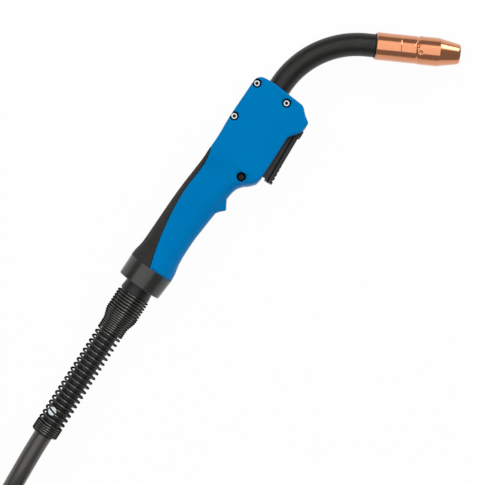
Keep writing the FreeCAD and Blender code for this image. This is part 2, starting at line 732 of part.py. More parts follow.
def diffuser_and_tip():
    pipe = CONDUCTOR_R + SLIP
    rim_from, rim_to = CAP_RIM
    keep("neck_end_cap", on_neck(turned([
        (rim_from, pipe), (rim_from, CAP_R), (rim_to, CAP_R), (rim_to, CAP_SLEEVE_R),
        (CAP_TO, CAP_SLEEVE_R), (CAP_TO, pipe)])))
    body = turned([
        (DIFFUSER_FROM, pipe), (DIFFUSER_FROM, DIFFUSER_R), (RING_FROM - END_PLAY, DIFFUSER_R),
        (RING_FROM - END_PLAY, RING_SEAT_R), (RING_TO + END_PLAY, RING_SEAT_R),
        (RING_TO + END_PLAY, DIFFUSER_R), (DIFFUSER_SHOULDER, DIFFUSER_R),
        (DIFFUSER_TO, DIFFUSER_NOSE_R), (DIFFUSER_TO, TIP_THREAD_R), (TIP_THREAD_FROM, TIP_THREAD_R),
        (TIP_THREAD_FROM, GAS_PASSAGE_R), (PIPE_SOCKET_TO, GAS_PASSAGE_R), (PIPE_SOCKET_TO, pipe)])
    holes = []
    for i in range(GAS_HOLES):
        angle = 2 * math.pi * i / GAS_HOLES
        out = Vector(0, math.cos(angle), math.sin(angle))
        middle = Vector(GAS_HOLES_AT, 0, 0)
        holes.append(cylinder(GAS_HOLE_R, middle + out, middle + out * (DIFFUSER_R + 1)))
    keep("gas_diffuser", on_neck(body.cut(holes)))
    bore = RING_SEAT_R + SLIP
    ring = turned([(RING_FROM, bore), (RING_FROM, RING_R), (RING_TO, RING_R), (RING_TO, bore)])
    split = block(RING_FROM - 1, RING_TO + 1, 0, RING_R + 1, -RING_SPLIT, RING_SPLIT)
    keep("retaining_ring", on_neck(ring.cut(split)))
    keep("contact_tip", on_neck(turned([
        (TIP_FROM, WIRE_BORE_R), (TIP_FROM, TIP_THREAD_R - SLIP), (TIP_NECK_TO, TIP_THREAD_R - SLIP),
        (TIP_NECK_TO, TIP_R), (TIP_CONE_FROM, TIP_R), (TIP_TO, TIP_NOSE_R), (TIP_TO, WIRE_BORE_R)])))


# Trigger: a black channel, the lever that sinks into it, its pin and the switch behind it
PIVOT = Vector(173.6, -41.0, 0)
PIN_R = 1.25
PIN_HALF = 9.1
KNUCKLE_R = 2.7
HOUSING_HALF = 9.2
HOUSING_TOP = -31.0
HOUSING_SIDE = [
    (129.3, -40.4, 0.8), (170.6, -38.4, 2.0), (171.4, -44.2, 1.5), (177.9, -44.2, 2.0),
    (177.9, HOUSING_TOP, 0), (129.3, HOUSING_TOP, 0),
]
CHANNEL = (120.0, 176.8, -50.0, -32.6)        # x from, x to, y from, y to
CHANNEL_HALF = 7.9
LEVER_HALF = 7.5
LEVER_SIDE = [
    (127.2, -44.5, 0.6), (150.0, -43.75, 60.0), (170.4, -43.0, 3.0), (174.6, -41.0, 0),
    (172.5, -38.6, 0), (165.0, -36.6, 3.0), (127.2, -38.2, 0.8),
]
LEVER_HOLLOW = (131.5, 164.0, -41.6, -30.0)
LEVER_HOLLOW_HALF = 5.7
RIBS = 6
RIB_PITCH = 3.8
FIRST_RIB_X = 128.6
FIRST_RIB_LOW = -45.3
RIB_RISE = 0.285            # from one rib to the next
# A rib's side view, from its middle and its low edge
RIB_SIDE = [(-1.15, 1.6, 0), (-0.85, 0, 0.25), (0.7, 0, 0.25), (1.05, 1.6, 0)]
PLUNGER_X = 150.0
PLUNGER_R = 1.1
PLUNGER_Y = (-35.4, -28.6)
PLUNGER_HOLE_R = 1.5
TAPPET = (PLUNGER_X - 1.5, PLUNGER_X + 1.5, -42.0, -35.7)
TAPPET_HALF = 2.0
SWITCH = (139.5, 159.5, HOUSING_TOP + SLIP, -20.9)
SWITCH_HALF = 3.2
SWITCH_BORE_R = 1.4
SWITCH_BORE_TOP = -26.2
BLADES_X = (142.5, 156.5)
BLADE_HALF_WIDTH = 1.6
BLADE_HALF = 0.25
BLADE_TOP = -18.4
SWITCH_LEAD_R = 0.9


def pin_hole(radius):
    deep = Vector(0, 0, PIN_HALF + 3)
    return cylinder(radius, PIVOT - deep, PIVOT + deep)


def trigger():
    housing = prism(outline(HOUSING_SIDE), -HOUSING_HALF, HOUSING_HALF)
    housing = housing.cut(block(*CHANNEL, -CHANNEL_HALF, CHANNEL_HALF))
    above = Vector(PLUNGER_X, HOUSING_TOP + 1, 0)
    housing = housing.cut(cylinder(PLUNGER_HOLE_R, Vector(PLUNGER_X, CHANNEL[3] - 1, 0), above))
    keep("trigger_housing", housing.cut(pin_hole(PIN_R + 0.02)))
    half = Vector(0, 0, PIN_HALF)
    keep("trigger_pin", cylinder(PIN_R, PIVOT - half, PIVOT + half))
    lever = prism(outline(LEVER_SIDE), -LEVER_HALF, LEVER_HALF)
    knuckle = Vector(0, 0, LEVER_HALF)
    lever = lever.fuse(cylinder(KNUCKLE_R, PIVOT - knuckle, PIVOT + knuckle))
    lever = lever.cut(block(*LEVER_HOLLOW, -LEVER_HOLLOW_HALF, LEVER_HOLLOW_HALF))
    ribs = []
    for i in range(RIBS):
        x = FIRST_RIB_X + RIB_PITCH * i
        low = FIRST_RIB_LOW + RIB_RISE * i
        side = [(x + u, low + v, radius) for u, v, radius in RIB_SIDE]
        ribs.append(prism(outline(side), -LEVER_HALF, LEVER_HALF))
    tappet = block(*TAPPET, -TAPPET_HALF, TAPPET_HALF)
    lever = lever.fuse(ribs + [tappet]).removeSplitter()
    keep("trigger_lever", lever.cut(pin_hole(PIN_R + 0.06)))


def switch():
    body = block(*SWITCH, -SWITCH_HALF, SWITCH_HALF)
    bore_end = Vector(PLUNGER_X, SWITCH_BORE_TOP, 0)
    body = body.cut(cylinder(SWITCH_BORE_R, Vector(PLUNGER_X, HOUSING_TOP - 1, 0), bore_end))
    keep("switch_body", body)
    low, high = PLUNGER_Y
    keep("switch_plunger", cylinder(PLUNGER_R, Vector(PLUNGER_X, low, 0), Vector(PLUNGER_X, high, 0)))
    blades = []
    leads = []
    for x, side in zip(BLADES_X, (1, -1)):
        blades.append(block(
            x - BLADE_HALF_WIDTH, x + BLADE_HALF_WIDTH, SWITCH[3], BLADE_TOP, -BLADE_HALF, BLADE_HALF))
        leads.append(rod(route([
            Vector(88.7, -7.0, 6.6 * side), Vector(92.8, -7.2, 10.4 * side),
            Vector(104.0, -9.5, 11.4 * side), Vector(126.0, -14.6, 11.4 * side),
            Vector(x - 6.0, -19.3, 6.0 * side), Vector(x - 0.5, -19.6, 1.25 * side)]), SWITCH_LEAD_R))
    keep("switch_terminals", Part.Compound(blades))
    keep("switch_leads", Part.Compound(leads))


# Free cable on the floor: a short lead, the stored coil and a tail with the machine plug
COIL_LIFT = 1.2             # the ties' straps lie under the coil
COIL_FLOOR = COIL_LIFT + CABLE_R - HALF_HEAD
COIL_CENTRE = Vector(-300.0, -114.4, COIL_FLOOR)
COIL_START_R = 110.0
COIL_PITCH = 16.6
COIL_LAYER = 16.1
COIL_IN = 2.5               # turns before the climb
COIL_CLIMB = 0.5
COIL_TURNS = 5.25
COIL_EASE = 0.1             # turns over which the spiral reverses
COIL_TURN_BACK = COIL_IN + COIL_CLIMB / 2
LEAD = [
    Vector(SPRING_END_X, 0, 0), Vector(-158.0, 0, 0), Vector(-184.0, -1.3, -0.6),
    Vector(-214.0, -2.4, -8.4), Vector(-250.0, -3.24, COIL_FLOOR), Vector(-284.6, -4.04, COIL_FLOOR),
]
TAIL = 60.0                 # straight cable between the coil and the plug's boot
TIE_ANGLES = (30.0, 150.0, 270.0)
STRAP = 1.0                 # thickness of the ties' webbing
STRAP_HALF = 7.0
STRAP_SLACK = 0.8


def coil_radius(t):
    def reach(u):
        return math.hypot(u, COIL_EASE)

    return COIL_START_R - COIL_PITCH * (reach(COIL_TURN_BACK) - reach(t - COIL_TURN_BACK))


def coil_point(t):
    """The coil's centreline: a spiral in, a climb of one layer, and a spiral out on top."""
    angle = math.pi / 2 + 2 * math.pi * t
    height = COIL_LAYER * eased((t - COIL_IN) / COIL_CLIMB)
    radius = coil_radius(t)
    return COIL_CENTRE + Vector(radius * math.cos(angle), radius * math.sin(angle), height)


def free_cable():
    diameter = 2 * CABLE_R
    lead = route(LEAD, "cable lead")
    keep("cable_lead", rod(lead, CABLE_R, "cable lead"))
    wire = turns(coil_point, 0, COIL_TURNS, 4, diameter)
    print("coil least gap", round(least_gap(coil_point, 0, COIL_TURNS, CABLE_R), 2),
          "mean diameters across", round((coil_radius(0) + coil_radius(COIL_TURN_BACK)) / diameter, 1))
    keep("cable_coil", rod(wire, CABLE_R, "coil"))
    heading = tangent_of(coil_point, COIL_TURNS)
    start = coil_point(COIL_TURNS) + heading * diameter
    end = start + heading * (TAIL + CORD_IN_PLUG - diameter)
    tail = Part.Wire(Part.LineSegment(start, end).toShape())
    keep("cable_tail", rod(tail, CABLE_R, "cable tail"))
    free = lead.Length + wire.Length + tail.Length
    print("free cable length", round(free), "with the stretch in the torch",
          round(free + route(CABLE_IN_TORCH).Length))


def coil_ties():
    low = 0.1 - HALF_HEAD
    high = COIL_FLOOR + COIL_LAYER + CABLE_R + 0.3 + STRAP
    corner = CABLE_R
    ties = []
    for angle in TIE_ANGLES:
        turn = math.radians(angle)
        passes = [angle / 360 - 0.25 + k for k in range(7)]
        radii = [coil_radius(t) for t in passes if 0 <= t <= COIL_TURNS]
        inner = min(radii) - CABLE_R - STRAP_SLACK
        outer = max(radii) + CABLE_R + STRAP_SLACK

        def place(u, v, turn=turn):
            return Vector(u * math.cos(turn), u * math.sin(turn), v)

        around = [
            (inner - STRAP, low, corner), (outer + STRAP, low, corner),
            (outer + STRAP, high, corner), (inner - STRAP, high, corner)]
        within = [
            (inner, low + STRAP, corner - STRAP), (outer, low + STRAP, corner - STRAP),
            (outer, high - STRAP, corner - STRAP), (inner, high - STRAP, corner - STRAP)]
        across = Vector(-math.sin(turn), math.cos(turn), 0)
        solid = Part.Face(outline(around, place)).extrude(across * (2 * STRAP_HALF))
        hollow = Part.Face(outline(within, place)).extrude(across * (2 * STRAP_HALF))
        tie = solid.cut(hollow)
        tie.translate(across * -STRAP_HALF + Vector(COIL_CENTRE.x, COIL_CENTRE.y, 0))
        ties.append(tie)
    keep("coil_ties", Part.Compound(ties))


# Machine plug, drawn along +X from its boot's rear end and then set on the tail's end
CORD_IN_PLUG = 80.0
PLUG_R = COIL_LIFT + CABLE_R + COIL_LAYER
BOOT_LENGTH = 50.0
BOOT_R = (9.4, 13.6)        # at its rear end and in the housing's mouth
BOOT_GROOVES = 6
BOOT_GROOVE_PITCH = 6.0
BOOT_GROOVE_WIDTH = 2.2
HOUSING_TO = 104.0
HOUSING_OUTSIDE = [
    (BOOT_LENGTH - 4, 13.9), (BOOT_LENGTH - 4, 15.6), (BOOT_LENGTH, 17.0), (78.0, 21.0),
    (92.0, PLUG_R - 0.6), (96.0, PLUG_R), (HOUSING_TO, PLUG_R),
]
HOUSING_INSIDE = [
    (100.0, PLUG_R - WALL), (92.0, PLUG_R - WALL - 0.6), (78.0, 18.0),
    (BOOT_LENGTH + 2, 14.2), (BOOT_LENGTH + 0.1, 13.9),
]
PLUG_SCREW_AT = (86.0, 15.5)        # along the plug and aside from its axis
PLUG_SCREW_R = 1.4
PLUG_SCREW_HALF = 8.0
NUT_FROM = 105.0
NUT_TO = 131.0
NUT_WALL = 5.2
NUT_EDGE = 1.2
NUT_R = PLUG_R - 0.6
NUT_BORE_R = 19.0
NUT_PLAY = 0.3
FLUTES = 16
FLUTE_R = 2.0
PLUG_FACE = 124.0
PLUG_BODY_R = 13.0
BODY_REAR_R = 9.5
BODY_CONE = (86.0, 90.0)
BODY_FLANGE = (111.0, 113.0)
BODY_FLANGE_R = 15.0
BODY_FRONT_R = 14.0
CONTACT_R = 1.4
CONTACT_SPACING = 8.8
CONTACT_HOLE_FROM = 104.0
CONTACT_FROM = 111.0
CONTACT_TO = 130.0
CONTACT_TIP = 0.7
PIN_SEAT_R = 5.5
PIN_SEAT = 12.0             # depth of the pin's seat in the plug's face
PIN_COLLAR_R = 6.0
PIN_COLLAR_TO = 131.0
PIN_BORE_R = 2.2
PIN_TIP_R = 5.0
PIN_TIP_FROM = 136.2
PIN_TIP_TO = 152.0
PIN_NOSE = 1.5
PIN_NOSE_R = 3.8
RING_GROOVE_FROM = 134.0
RING_GROOVE_R = 4.2
O_RING_R = 0.85             # of the seal's round section


def on_tail(shape):
    heading = tangent_of(coil_point, COIL_TURNS)
    start = coil_point(COIL_TURNS) + heading * TAIL
    return placed(shape, start, math.degrees(math.atan2(heading.y, heading.x)))


def plug_cover():
    """The cable's boot and the two moulded housings with their screws."""
    rear, mouth = BOOT_R
    bore = CABLE_R + SLIP
    boot = turned([(0, bore), (0, rear), (BOOT_LENGTH, mouth), (BOOT_LENGTH, bore)])
    grooves = []
    for i in range(BOOT_GROOVES):
        at = BOOT_GROOVE_PITCH * (i + 1)
        past = at + BOOT_GROOVE_WIDTH
        floor = rear + (mouth - rear) * at / BOOT_LENGTH - 1.0
        grooves.append(turned([(at, floor), (at, mouth + 1), (past, mouth + 1), (past, floor)]))
    keep("plug_boot", on_tail(boot.cut(grooves)))
    seat = PLUG_BODY_R + SLIP
    housing = turned(HOUSING_OUTSIDE + [(HOUSING_TO, seat), (HOUSING_INSIDE[0][0], seat)] + HOUSING_INSIDE)
    keep("plug_housing_upper", on_tail(housing.common(block(0, 200, -40, 40, PARTING, 40))))
    keep("plug_housing_lower", on_tail(housing.common(block(0, 200, -40, 40, -40, -PARTING))))
    screws = []
    along, aside = PLUG_SCREW_AT
    half = Vector(0, 0, PLUG_SCREW_HALF)
    for side in (-1, 1):
        place = Vector(along, aside * side, 0)
        screws.append(cylinder(PLUG_SCREW_R, place - half, place + half))
    keep("plug_screws", on_tail(Part.Compound(screws)))


def coupling_nut():
    bore = PLUG_BODY_R + NUT_PLAY
    nut = turned([
        (NUT_FROM, bore), (NUT_FROM, NUT_R - NUT_EDGE), (NUT_FROM + NUT_EDGE, NUT_R),
        (NUT_TO - NUT_EDGE, NUT_R), (NUT_TO, NUT_R - NUT_EDGE), (NUT_TO, NUT_BORE_R),
        (NUT_FROM + NUT_WALL, NUT_BORE_R), (NUT_FROM + NUT_WALL, bore)])
    flutes = []
    for i in range(FLUTES):
        angle = 2 * math.pi * i / FLUTES
        side = Vector(0, math.cos(angle), math.sin(angle)) * (NUT_R + FLUTE_R / 2)
        flutes.append(cylinder(FLUTE_R, Vector(NUT_FROM + 3, 0, 0) + side, Vector(NUT_TO - 3, 0, 0) + side))
    keep("coupling_nut", on_tail(nut.cut(flutes)))


def plug_front():
    """The plug's inner body with its gas pin, seal and two sprung contacts."""
    cone_from, cone_to = BODY_CONE
    flange_from, flange_to = BODY_FLANGE
    body = turned([
        (CORD_IN_PLUG + SLIP, 0), (CORD_IN_PLUG + SLIP, BODY_REAR_R), (cone_from, BODY_REAR_R),
        (cone_to, PLUG_BODY_R), (flange_from, PLUG_BODY_R), (flange_from, BODY_FLANGE_R),
        (flange_to, BODY_FLANGE_R), (flange_to, BODY_FRONT_R), (PLUG_FACE, BODY_FRONT_R), (PLUG_FACE, 0)])
    for name, side in (("contact_pin_a", 1), ("contact_pin_b", -1)):
        aside = Vector(0, CONTACT_SPACING * side, 0)
        hole = cylinder(
            CONTACT_R + 0.1, Vector(CONTACT_HOLE_FROM, 0, 0) + aside, Vector(PLUG_FACE + 1, 0, 0) + aside)
        body = body.cut(hole)
        pin = turned([
            (CONTACT_FROM, 0), (CONTACT_FROM, CONTACT_R), (CONTACT_TO - CONTACT_TIP, CONTACT_R),
            (CONTACT_TO, CONTACT_R - CONTACT_TIP), (CONTACT_TO, 0)])
        pin.translate(aside)
        keep(name, on_tail(pin))
    seat_from = PLUG_FACE - PIN_SEAT
    body = body.cut(cylinder(PIN_SEAT_R + SLIP, Vector(seat_from, 0, 0), Vector(PLUG_FACE + 1, 0, 0)))
    keep("plug_body", on_tail(body))
    collar_from = PLUG_FACE + SLIP
    keep("plug_pin", on_tail(turned([
        (seat_from + SLIP, PIN_BORE_R), (seat_from + SLIP, PIN_SEAT_R), (collar_from, PIN_SEAT_R),
        (collar_from, PIN_COLLAR_R), (PIN_COLLAR_TO, PIN_COLLAR_R), (PIN_COLLAR_TO + 1, PIN_TIP_R),
        (RING_GROOVE_FROM, PIN_TIP_R), (RING_GROOVE_FROM, RING_GROOVE_R),
        (PIN_TIP_FROM, RING_GROOVE_R), (PIN_TIP_FROM, PIN_TIP_R), (PIN_TIP_TO, PIN_TIP_R),
        (PIN_TIP_TO + PIN_NOSE, PIN_NOSE_R), (PIN_TIP_TO + PIN_NOSE, PIN_BORE_R)])))
    middle = Vector((RING_GROOVE_FROM + PIN_TIP_FROM) / 2, 0, 0)
    ring = Part.makeTorus(RING_GROOVE_R + O_RING_R, O_RING_R, middle, Vector(1, 0, 0))
    keep("pin_o_ring", on_tail(ring))


PIECES = {}


def keep(name, shape):
    """Files a piece under its node's name, as one solid or a group of separate solids."""
    solids = shape.Solids
    PIECES[name] = solids[0] if len(solids) == 1 else Part.Compound(solids)


def main():
    handle_shells()
    handle_screws()
    collar()
    spring_seat()
    strain_relief_spring()
    clamp()
    cable_in_torch()
    neck()
    cable_connector()
    nozzle()
    diffuser_and_tip()
    trigger()
    switch()
    free_cable()
    coil_ties()
    plug_cover()
    coupling_nut()
    plug_front()
    os.makedirs("parts", exist_ok=True)
    on_cord = ("cable_lead", "cable_coil", "cable_tail", "coil_ties", "plug_", "coupling_nut",
               "pin_o_ring", "contact_pin_")
    torch = FreeCAD.BoundBox()
    for name, shape in PIECES.items():
        shape.translate(-ORIGIN)
        if not name.startswith(on_cord):
            torch.add(shape.BoundBox)
        shape.exportStep("parts/" + name + ".step")
        if not shape.isValid():
            print("not valid:", name)
        print(name, len(shape.Solids), "solids", round(shape.Volume / 1000, 2), "cm3")
    print("torch box", torch)


main()
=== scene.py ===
import json
import math

import bpy
from mathutils import Matrix, Vector


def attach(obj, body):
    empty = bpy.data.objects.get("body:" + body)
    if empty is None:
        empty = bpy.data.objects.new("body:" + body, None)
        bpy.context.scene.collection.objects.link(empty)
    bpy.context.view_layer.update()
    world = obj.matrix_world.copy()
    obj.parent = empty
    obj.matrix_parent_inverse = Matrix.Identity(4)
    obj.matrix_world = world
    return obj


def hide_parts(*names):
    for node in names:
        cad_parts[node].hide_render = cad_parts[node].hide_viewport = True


bl_info = {
    "name": "Welding torch",
    "version": (1, 0, 0),
    "blender": (4, 5, 0),
    "location": "3D View > Sidebar > Torch",
    "description": "Dresses the packed frame of a welding torch: finishes, spring, nozzle and cable",
    "category": "Object",
}

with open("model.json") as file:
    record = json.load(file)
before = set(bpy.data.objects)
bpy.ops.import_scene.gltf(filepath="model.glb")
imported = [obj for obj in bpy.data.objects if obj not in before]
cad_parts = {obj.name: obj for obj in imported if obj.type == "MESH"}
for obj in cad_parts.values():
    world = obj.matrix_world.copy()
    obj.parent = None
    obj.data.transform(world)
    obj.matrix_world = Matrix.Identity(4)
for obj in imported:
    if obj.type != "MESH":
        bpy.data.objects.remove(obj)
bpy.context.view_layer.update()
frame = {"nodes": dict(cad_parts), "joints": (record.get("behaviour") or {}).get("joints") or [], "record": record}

MM = 0.001
UP = Vector((0, 0, 1))
JOINTS = {joint["name"]: joint for joint in frame["joints"]}
SLOTS = {subpart["node"]: subpart["material_slot"] for subpart in frame["record"]["subparts"]}
BODIES = {node: body for body, nodes in frame["record"]["behaviour"]["bodies"].items() for node in nodes}

# The drawing's zero is the collar's rear centre on the parting plane, found from the trigger's pin.
# Along the drawing +X runs to the nozzle, +Y to the back of the grip and +Z up, in millimetres.
TRIGGER_PIN = (173.6, -41.0, 0.0)
ZERO = Vector(JOINTS["trigger_pivot"]["pos_m"]) - Vector(TRIGGER_PIN) * MM
HALF_HEAD = 19.75           # the parting plane's height over the floor
FINE_EDGE = 0.12            # rounding of the edges of what is turned

# Neck and nozzle
NECK_BEND = 62.85           # degrees from the handle's axis to the nozzle's
NECK_BEND_R = 75.0
NECK_CORNER = (199.3, -7.45)
NECK_STRAIGHT = 6.9

# Cable: a straight lead, the stored coil and a tail that ends in the machine plug
CABLE_R = 7.7
SPRING_END_X = -146.0       # where the cable comes out of the spring
COIL_LIFT = 1.2             # the gap under the lower layer
COIL_FLOOR = COIL_LIFT + CABLE_R - HALF_HEAD    # height of that layer's middle
COIL_CENTRE = Vector((-300.0, -114.4, COIL_FLOOR))
COIL_START_R = 110.0
COIL_PITCH = 16.6           # what the radius loses in one turn
COIL_LAYER = 16.1           # the upper layer's height over the lower one
COIL_IN = 2.5               # turns in the lower layer
COIL_CLIMB = 0.5            # turns of the climb to the upper one
COIL_TURNS = 5.25           # in all
COIL_EASE = 0.1             # turns over which the way in becomes the way out
COIL_POINTS = 24            # points of the cord's line in one turn
LEAD = [
    (SPRING_END_X, 0.0, 0.0), (-158.0, 0.0, 0.0), (-184.0, -1.3, -0.6),
    (-214.0, -2.4, -8.4), (-250.0, -3.24, COIL_FLOOR), (-284.6, -4.04, COIL_FLOOR),
]
TAIL = 60.0                 # from the coil to the plug's boot
CORD_IN_PLUG = 80.0

# Spring round the cable, from its end nearest the handle on
SPRING_FACE_X = -9.0        # where the wire's first turn ends
SPRING_HEAD_R = 14.0        # outer radius there
SPRING_STRETCHES = [        # turns, pitch and outer radius at the stretch's end
    (6.2, 2.58, 14.0), (1, 1.9, 14.0), (6, 1.9, 11.3), (3.6, 1.9, 11.3), (19.4, 4.62, 11.3),
    (4.8, 1.87, 11.3),
]
SPRING_START = 0.2          # share of a turn between the wire's end and the grip's back
SPRING_POINTS = 16          # points of the wire's line in one turn

# Screws of the handle, on the camera's side
SHELL_SCREWS = [(156.6, 9.8), (188.6, 8.8), (188.1, -19.9)]
DEEP_SCREW = (118.7, -21.6)
SHELL_SCREW_FLOOR = HALF_HEAD - 3.2
DEEP_SCREW_FLOOR = HALF_HEAD - 7.5
COUNTERBORE_REACH = 3.77    # a counterbore's wall and floor lie within this of its axis
SHANK_R = 1.5
SHANK_END = -12.0           # over the parting plane
SCREW_TOP = 1.9             # over the counterbore's floor
SCREW_HEAD = [(0.0, SHANK_R), (0.0, 2.65), (1.5, 2.65), (SCREW_TOP, 2.3)]
SCREW_SIDES = 48
SOCKET_ACROSS = 2.5
SOCKET_DEPTH = 1.3
SOCKET_SHADE_FROM = 0.4             # a socket is painted dark from this depth on: painted shade
SOCKET_SHADE_FADE = 0.1

# Clamp screw on the ring under the spring's end
CLAMP_SCREW_X = -123.6
CLAMP_SCREW_TILT = 16.4
CLAMP_SLOT_HEIGHTS = (12.0, 12.85)      # the faces of its slot lie between these, from the cable's middle
CLAMP_SLOT_R = 3.3                      # and within this of its axis
# The ring itself: along the drawing's X and out from the cable's middle, a closed wall
CLAMP_RING = [(-143.0, 7.75), (-143.0, 8.3), (-119.0, 8.3), (-119.0, 7.75), (-143.0, 7.75)]

# Nozzle, along its own axis from the neck cover's end
NOZZLE_OUTSIDE = [
    (0.7, 10.9), (1.2, 11.4), (2.2, 11.5), (3.4, 11.38), (19.7, 11.38), (19.9, 11.5), (20.5, 11.5),
    (20.7, 11.38), (31.0, 11.4), (33.2, 11.35), (34.4, 10.95), (35.4, 11.35), (37.0, 11.62), (39.5, 11.7),
    (52.6, 11.7), (52.9, 11.45), (67.4, 8.55), (68.9, 8.2), (69.4, 7.7),
]
NOZZLE_INSIDE = [(69.4, 6.35), (62.9, 6.35), (50.0, 8.2), (33.8, 8.2), (33.8, 9.6), (0.7, 9.6)]
NOZZLE_MID_WALL = 10.5      # the outside lies beyond this radius along the dents
NOZZLE_SIDES = 224
# Dents: place along the nozzle, degrees from the top, half length and half width
DENTS = [(34.0, 11.0, 1.5, 2.8), (36.8, -17.0, 1.65, 1.65)]
DENTS_ROUND = 4             # of each row
DENT_ZONE = (30.5, 41.0, 0.3)           # start, end and step of the finer rings
DENT_REACH = 1.35           # in half widths: nothing is pressed beyond it
DENT_SLOPE = 1.25           # a higher one makes the dents smaller

# Trigger lever: a groove along its sides, just under the channel's edge
LEVER_FLAT = 7.4            # its flat sides lie beyond this, from the parting plane
LEVER_SUNK = 7.3            # and what is pressed in lies within this
GROOVE_LINE = [(129.3, -40.5), (170.6, -38.5)]
GROOVE_WIDTH = 0.9
GROOVE_DEPTH = 1.3
GROOVE_ENDS = (128.0, 169.5)
GROOVE_SLACK = 0.05
RIB_LINE = [(127.0, -44.6), (149.5, -43.75)]    # the ribs stand out of the lever below it
FACING = 0.9                # least share of a side face's normal along Z
CHANNEL_ROUNDING = 2.0      # the channel's rounding and the lever's, in shell edges
LEVER_ROUNDING = 0.7

# The camera looks straight down on the torch, turned so that the handle leans as it is seen
CAMERA_AIM = (74.8, -51.2, 0.0)
CAMERA_HEIGHT = 1.0         # metres, as is the field
CAMERA_FIELD = 0.3977       # width of the view at the parting plane
CAMERA_ROLL = 57.0          # degrees from the picture's right to the handle's axis
CAMERA_SENSOR = 36.0        # millimetres, and the lens follows from it

# Floor, in metres: a pale grey that takes the shadow, with a glow that only the camera and mirrors see
FLOOR_SIZE = 8.0
FLOOR_DROP = 0.0002
FLOOR_GREY = 0.88
FLOOR_GLOW = 0.965          # the glow's share where it is seen

LAMPS = [
    # name, place in metres, the point it faces, heading of its width, width and height in metres, watts
    ("softbox", (-0.01, 0.74, 1.95), (-0.01, 0.74, 0.0), 27.15, 3.0, 2.7, 28.5),
    ("key", (1.68, -0.27, 1.34), (0.14, 0.0, 0.0), -90.0, 0.6, 1.5, 13.0),
]
WALL_TOP = (0.04, 0.22)     # heights of a direction between which the white wall fades out
WALL_LIGHT = 1.0            # strength of the white wall and of the ceiling over it
CEILING_LIGHT = 0.28


def at(x, y, z=0.0):
    """A place of the drawing, in millimetres, as a place in the frame."""
    return ZERO + Vector((x, y, z)) * MM


def heading(degrees):
    return Vector((math.cos(math.radians(degrees)), math.sin(math.radians(degrees)), 0.0))


def neck_end():
    bend = math.radians(NECK_BEND)
    corner = at(*NECK_CORNER)
    end = corner + Vector((math.sin(bend), math.cos(bend) - 1, 0)) * NECK_BEND_R * MM
    return end + heading(-NECK_BEND) * NECK_STRAIGHT * MM


def line_frame(line):
    """A drawn line's start in the frame, its direction and the direction across it."""
    start = at(*line[0])
    along = (at(*line[1]) - start).normalized()
    return start, along, Vector((-along.y, along.x, 0))


# Steps of modelling by hand

def deselect():
    bpy.ops.object.select_all(action="DESELECT")


def only(piece):
    deselect()
    piece.select_set(True)
    bpy.context.view_layer.objects.active = piece


def edit_whole(piece):
    """Opens a piece in edit mode with all of it selected."""
    only(piece)
    bpy.ops.object.mode_set(mode="EDIT")
    bpy.ops.mesh.select_all(action="SELECT")


def merged_copy(node):
    """A copy of a node's mesh with its loose triangles joined."""
    piece = bpy.data.objects.new(node + "_copy", frame["nodes"][node].data.copy())
    bpy.context.collection.objects.link(piece)
    edit_whole(piece)
    bpy.ops.mesh.remove_doubles(threshold=2e-6)
    bpy.ops.object.mode_set(mode="OBJECT")
    return piece


def flat_faces(piece):
    """Joins the triangles of flat faces."""
    edit_whole(piece)
    bpy.ops.mesh.dissolve_limited(angle_limit=math.radians(1.0))
    bpy.ops.object.mode_set(mode="OBJECT")


def bisect(piece, place, normal):
    edit_whole(piece)
    bpy.ops.mesh.bisect(plane_co=place, plane_no=normal)
    bpy.ops.object.mode_set(mode="OBJECT")


def push_faces(piece, wanted, move):
    """Extrudes the faces for which wanted(centre, normal) holds, by a move in millimetres."""
    only(piece)
    bpy.ops.object.mode_set(mode="EDIT")
    bpy.ops.mesh.select_mode(type="FACE")
    bpy.ops.mesh.select_all(action="DESELECT")
    bpy.ops.object.mode_set(mode="OBJECT")
    for face in piece.data.polygons:
        face.select = wanted(face.center, face.normal)
    bpy.ops.object.mode_set(mode="EDIT")
    bpy.ops.mesh.extrude_region_move(TRANSFORM_OT_translate={"value": tuple(v * MM for v in move)})
    bpy.ops.mesh.select_mode(type="VERT")
    bpy.ops.object.mode_set(mode="OBJECT")


def cut_with(piece, cutter):
    """Cuts another piece out of a piece, and takes that other one away."""
    only(piece)
    modifier = piece.modifiers.new("cut", "BOOLEAN")
    modifier.operation = "DIFFERENCE"
    modifier.solver = "EXACT"
    modifier.object = cutter
    bpy.ops.object.modifier_apply(modifier=modifier.name)
    bpy.data.objects.remove(cutter, do_unlink=True)


def bevel(piece, width, segments=2, angle=35.0):
    """Rounds the sharp edges by a width in millimetres."""
    only(piece)
    modifier = piece.modifiers.new("bevel", "BEVEL")
    modifier.width = width * MM
    modifier.segments = segments
    modifier.limit_method = "ANGLE"
    modifier.angle_limit = math.radians(angle)
    bpy.ops.object.modifier_apply(modifier=modifier.name)


def smooth(piece, angle=32.0, weighted=True):
    """Shades a piece smooth but for the edges sharper than an angle in degrees."""
    only(piece)
    bpy.ops.object.shade_smooth_by_angle(angle=math.radians(angle))
    if weighted:
        modifier = piece.modifiers.new("normals", "WEIGHTED_NORMAL")
        modifier.keep_sharp = True
        bpy.ops.object.modifier_apply(modifier=modifier.name)


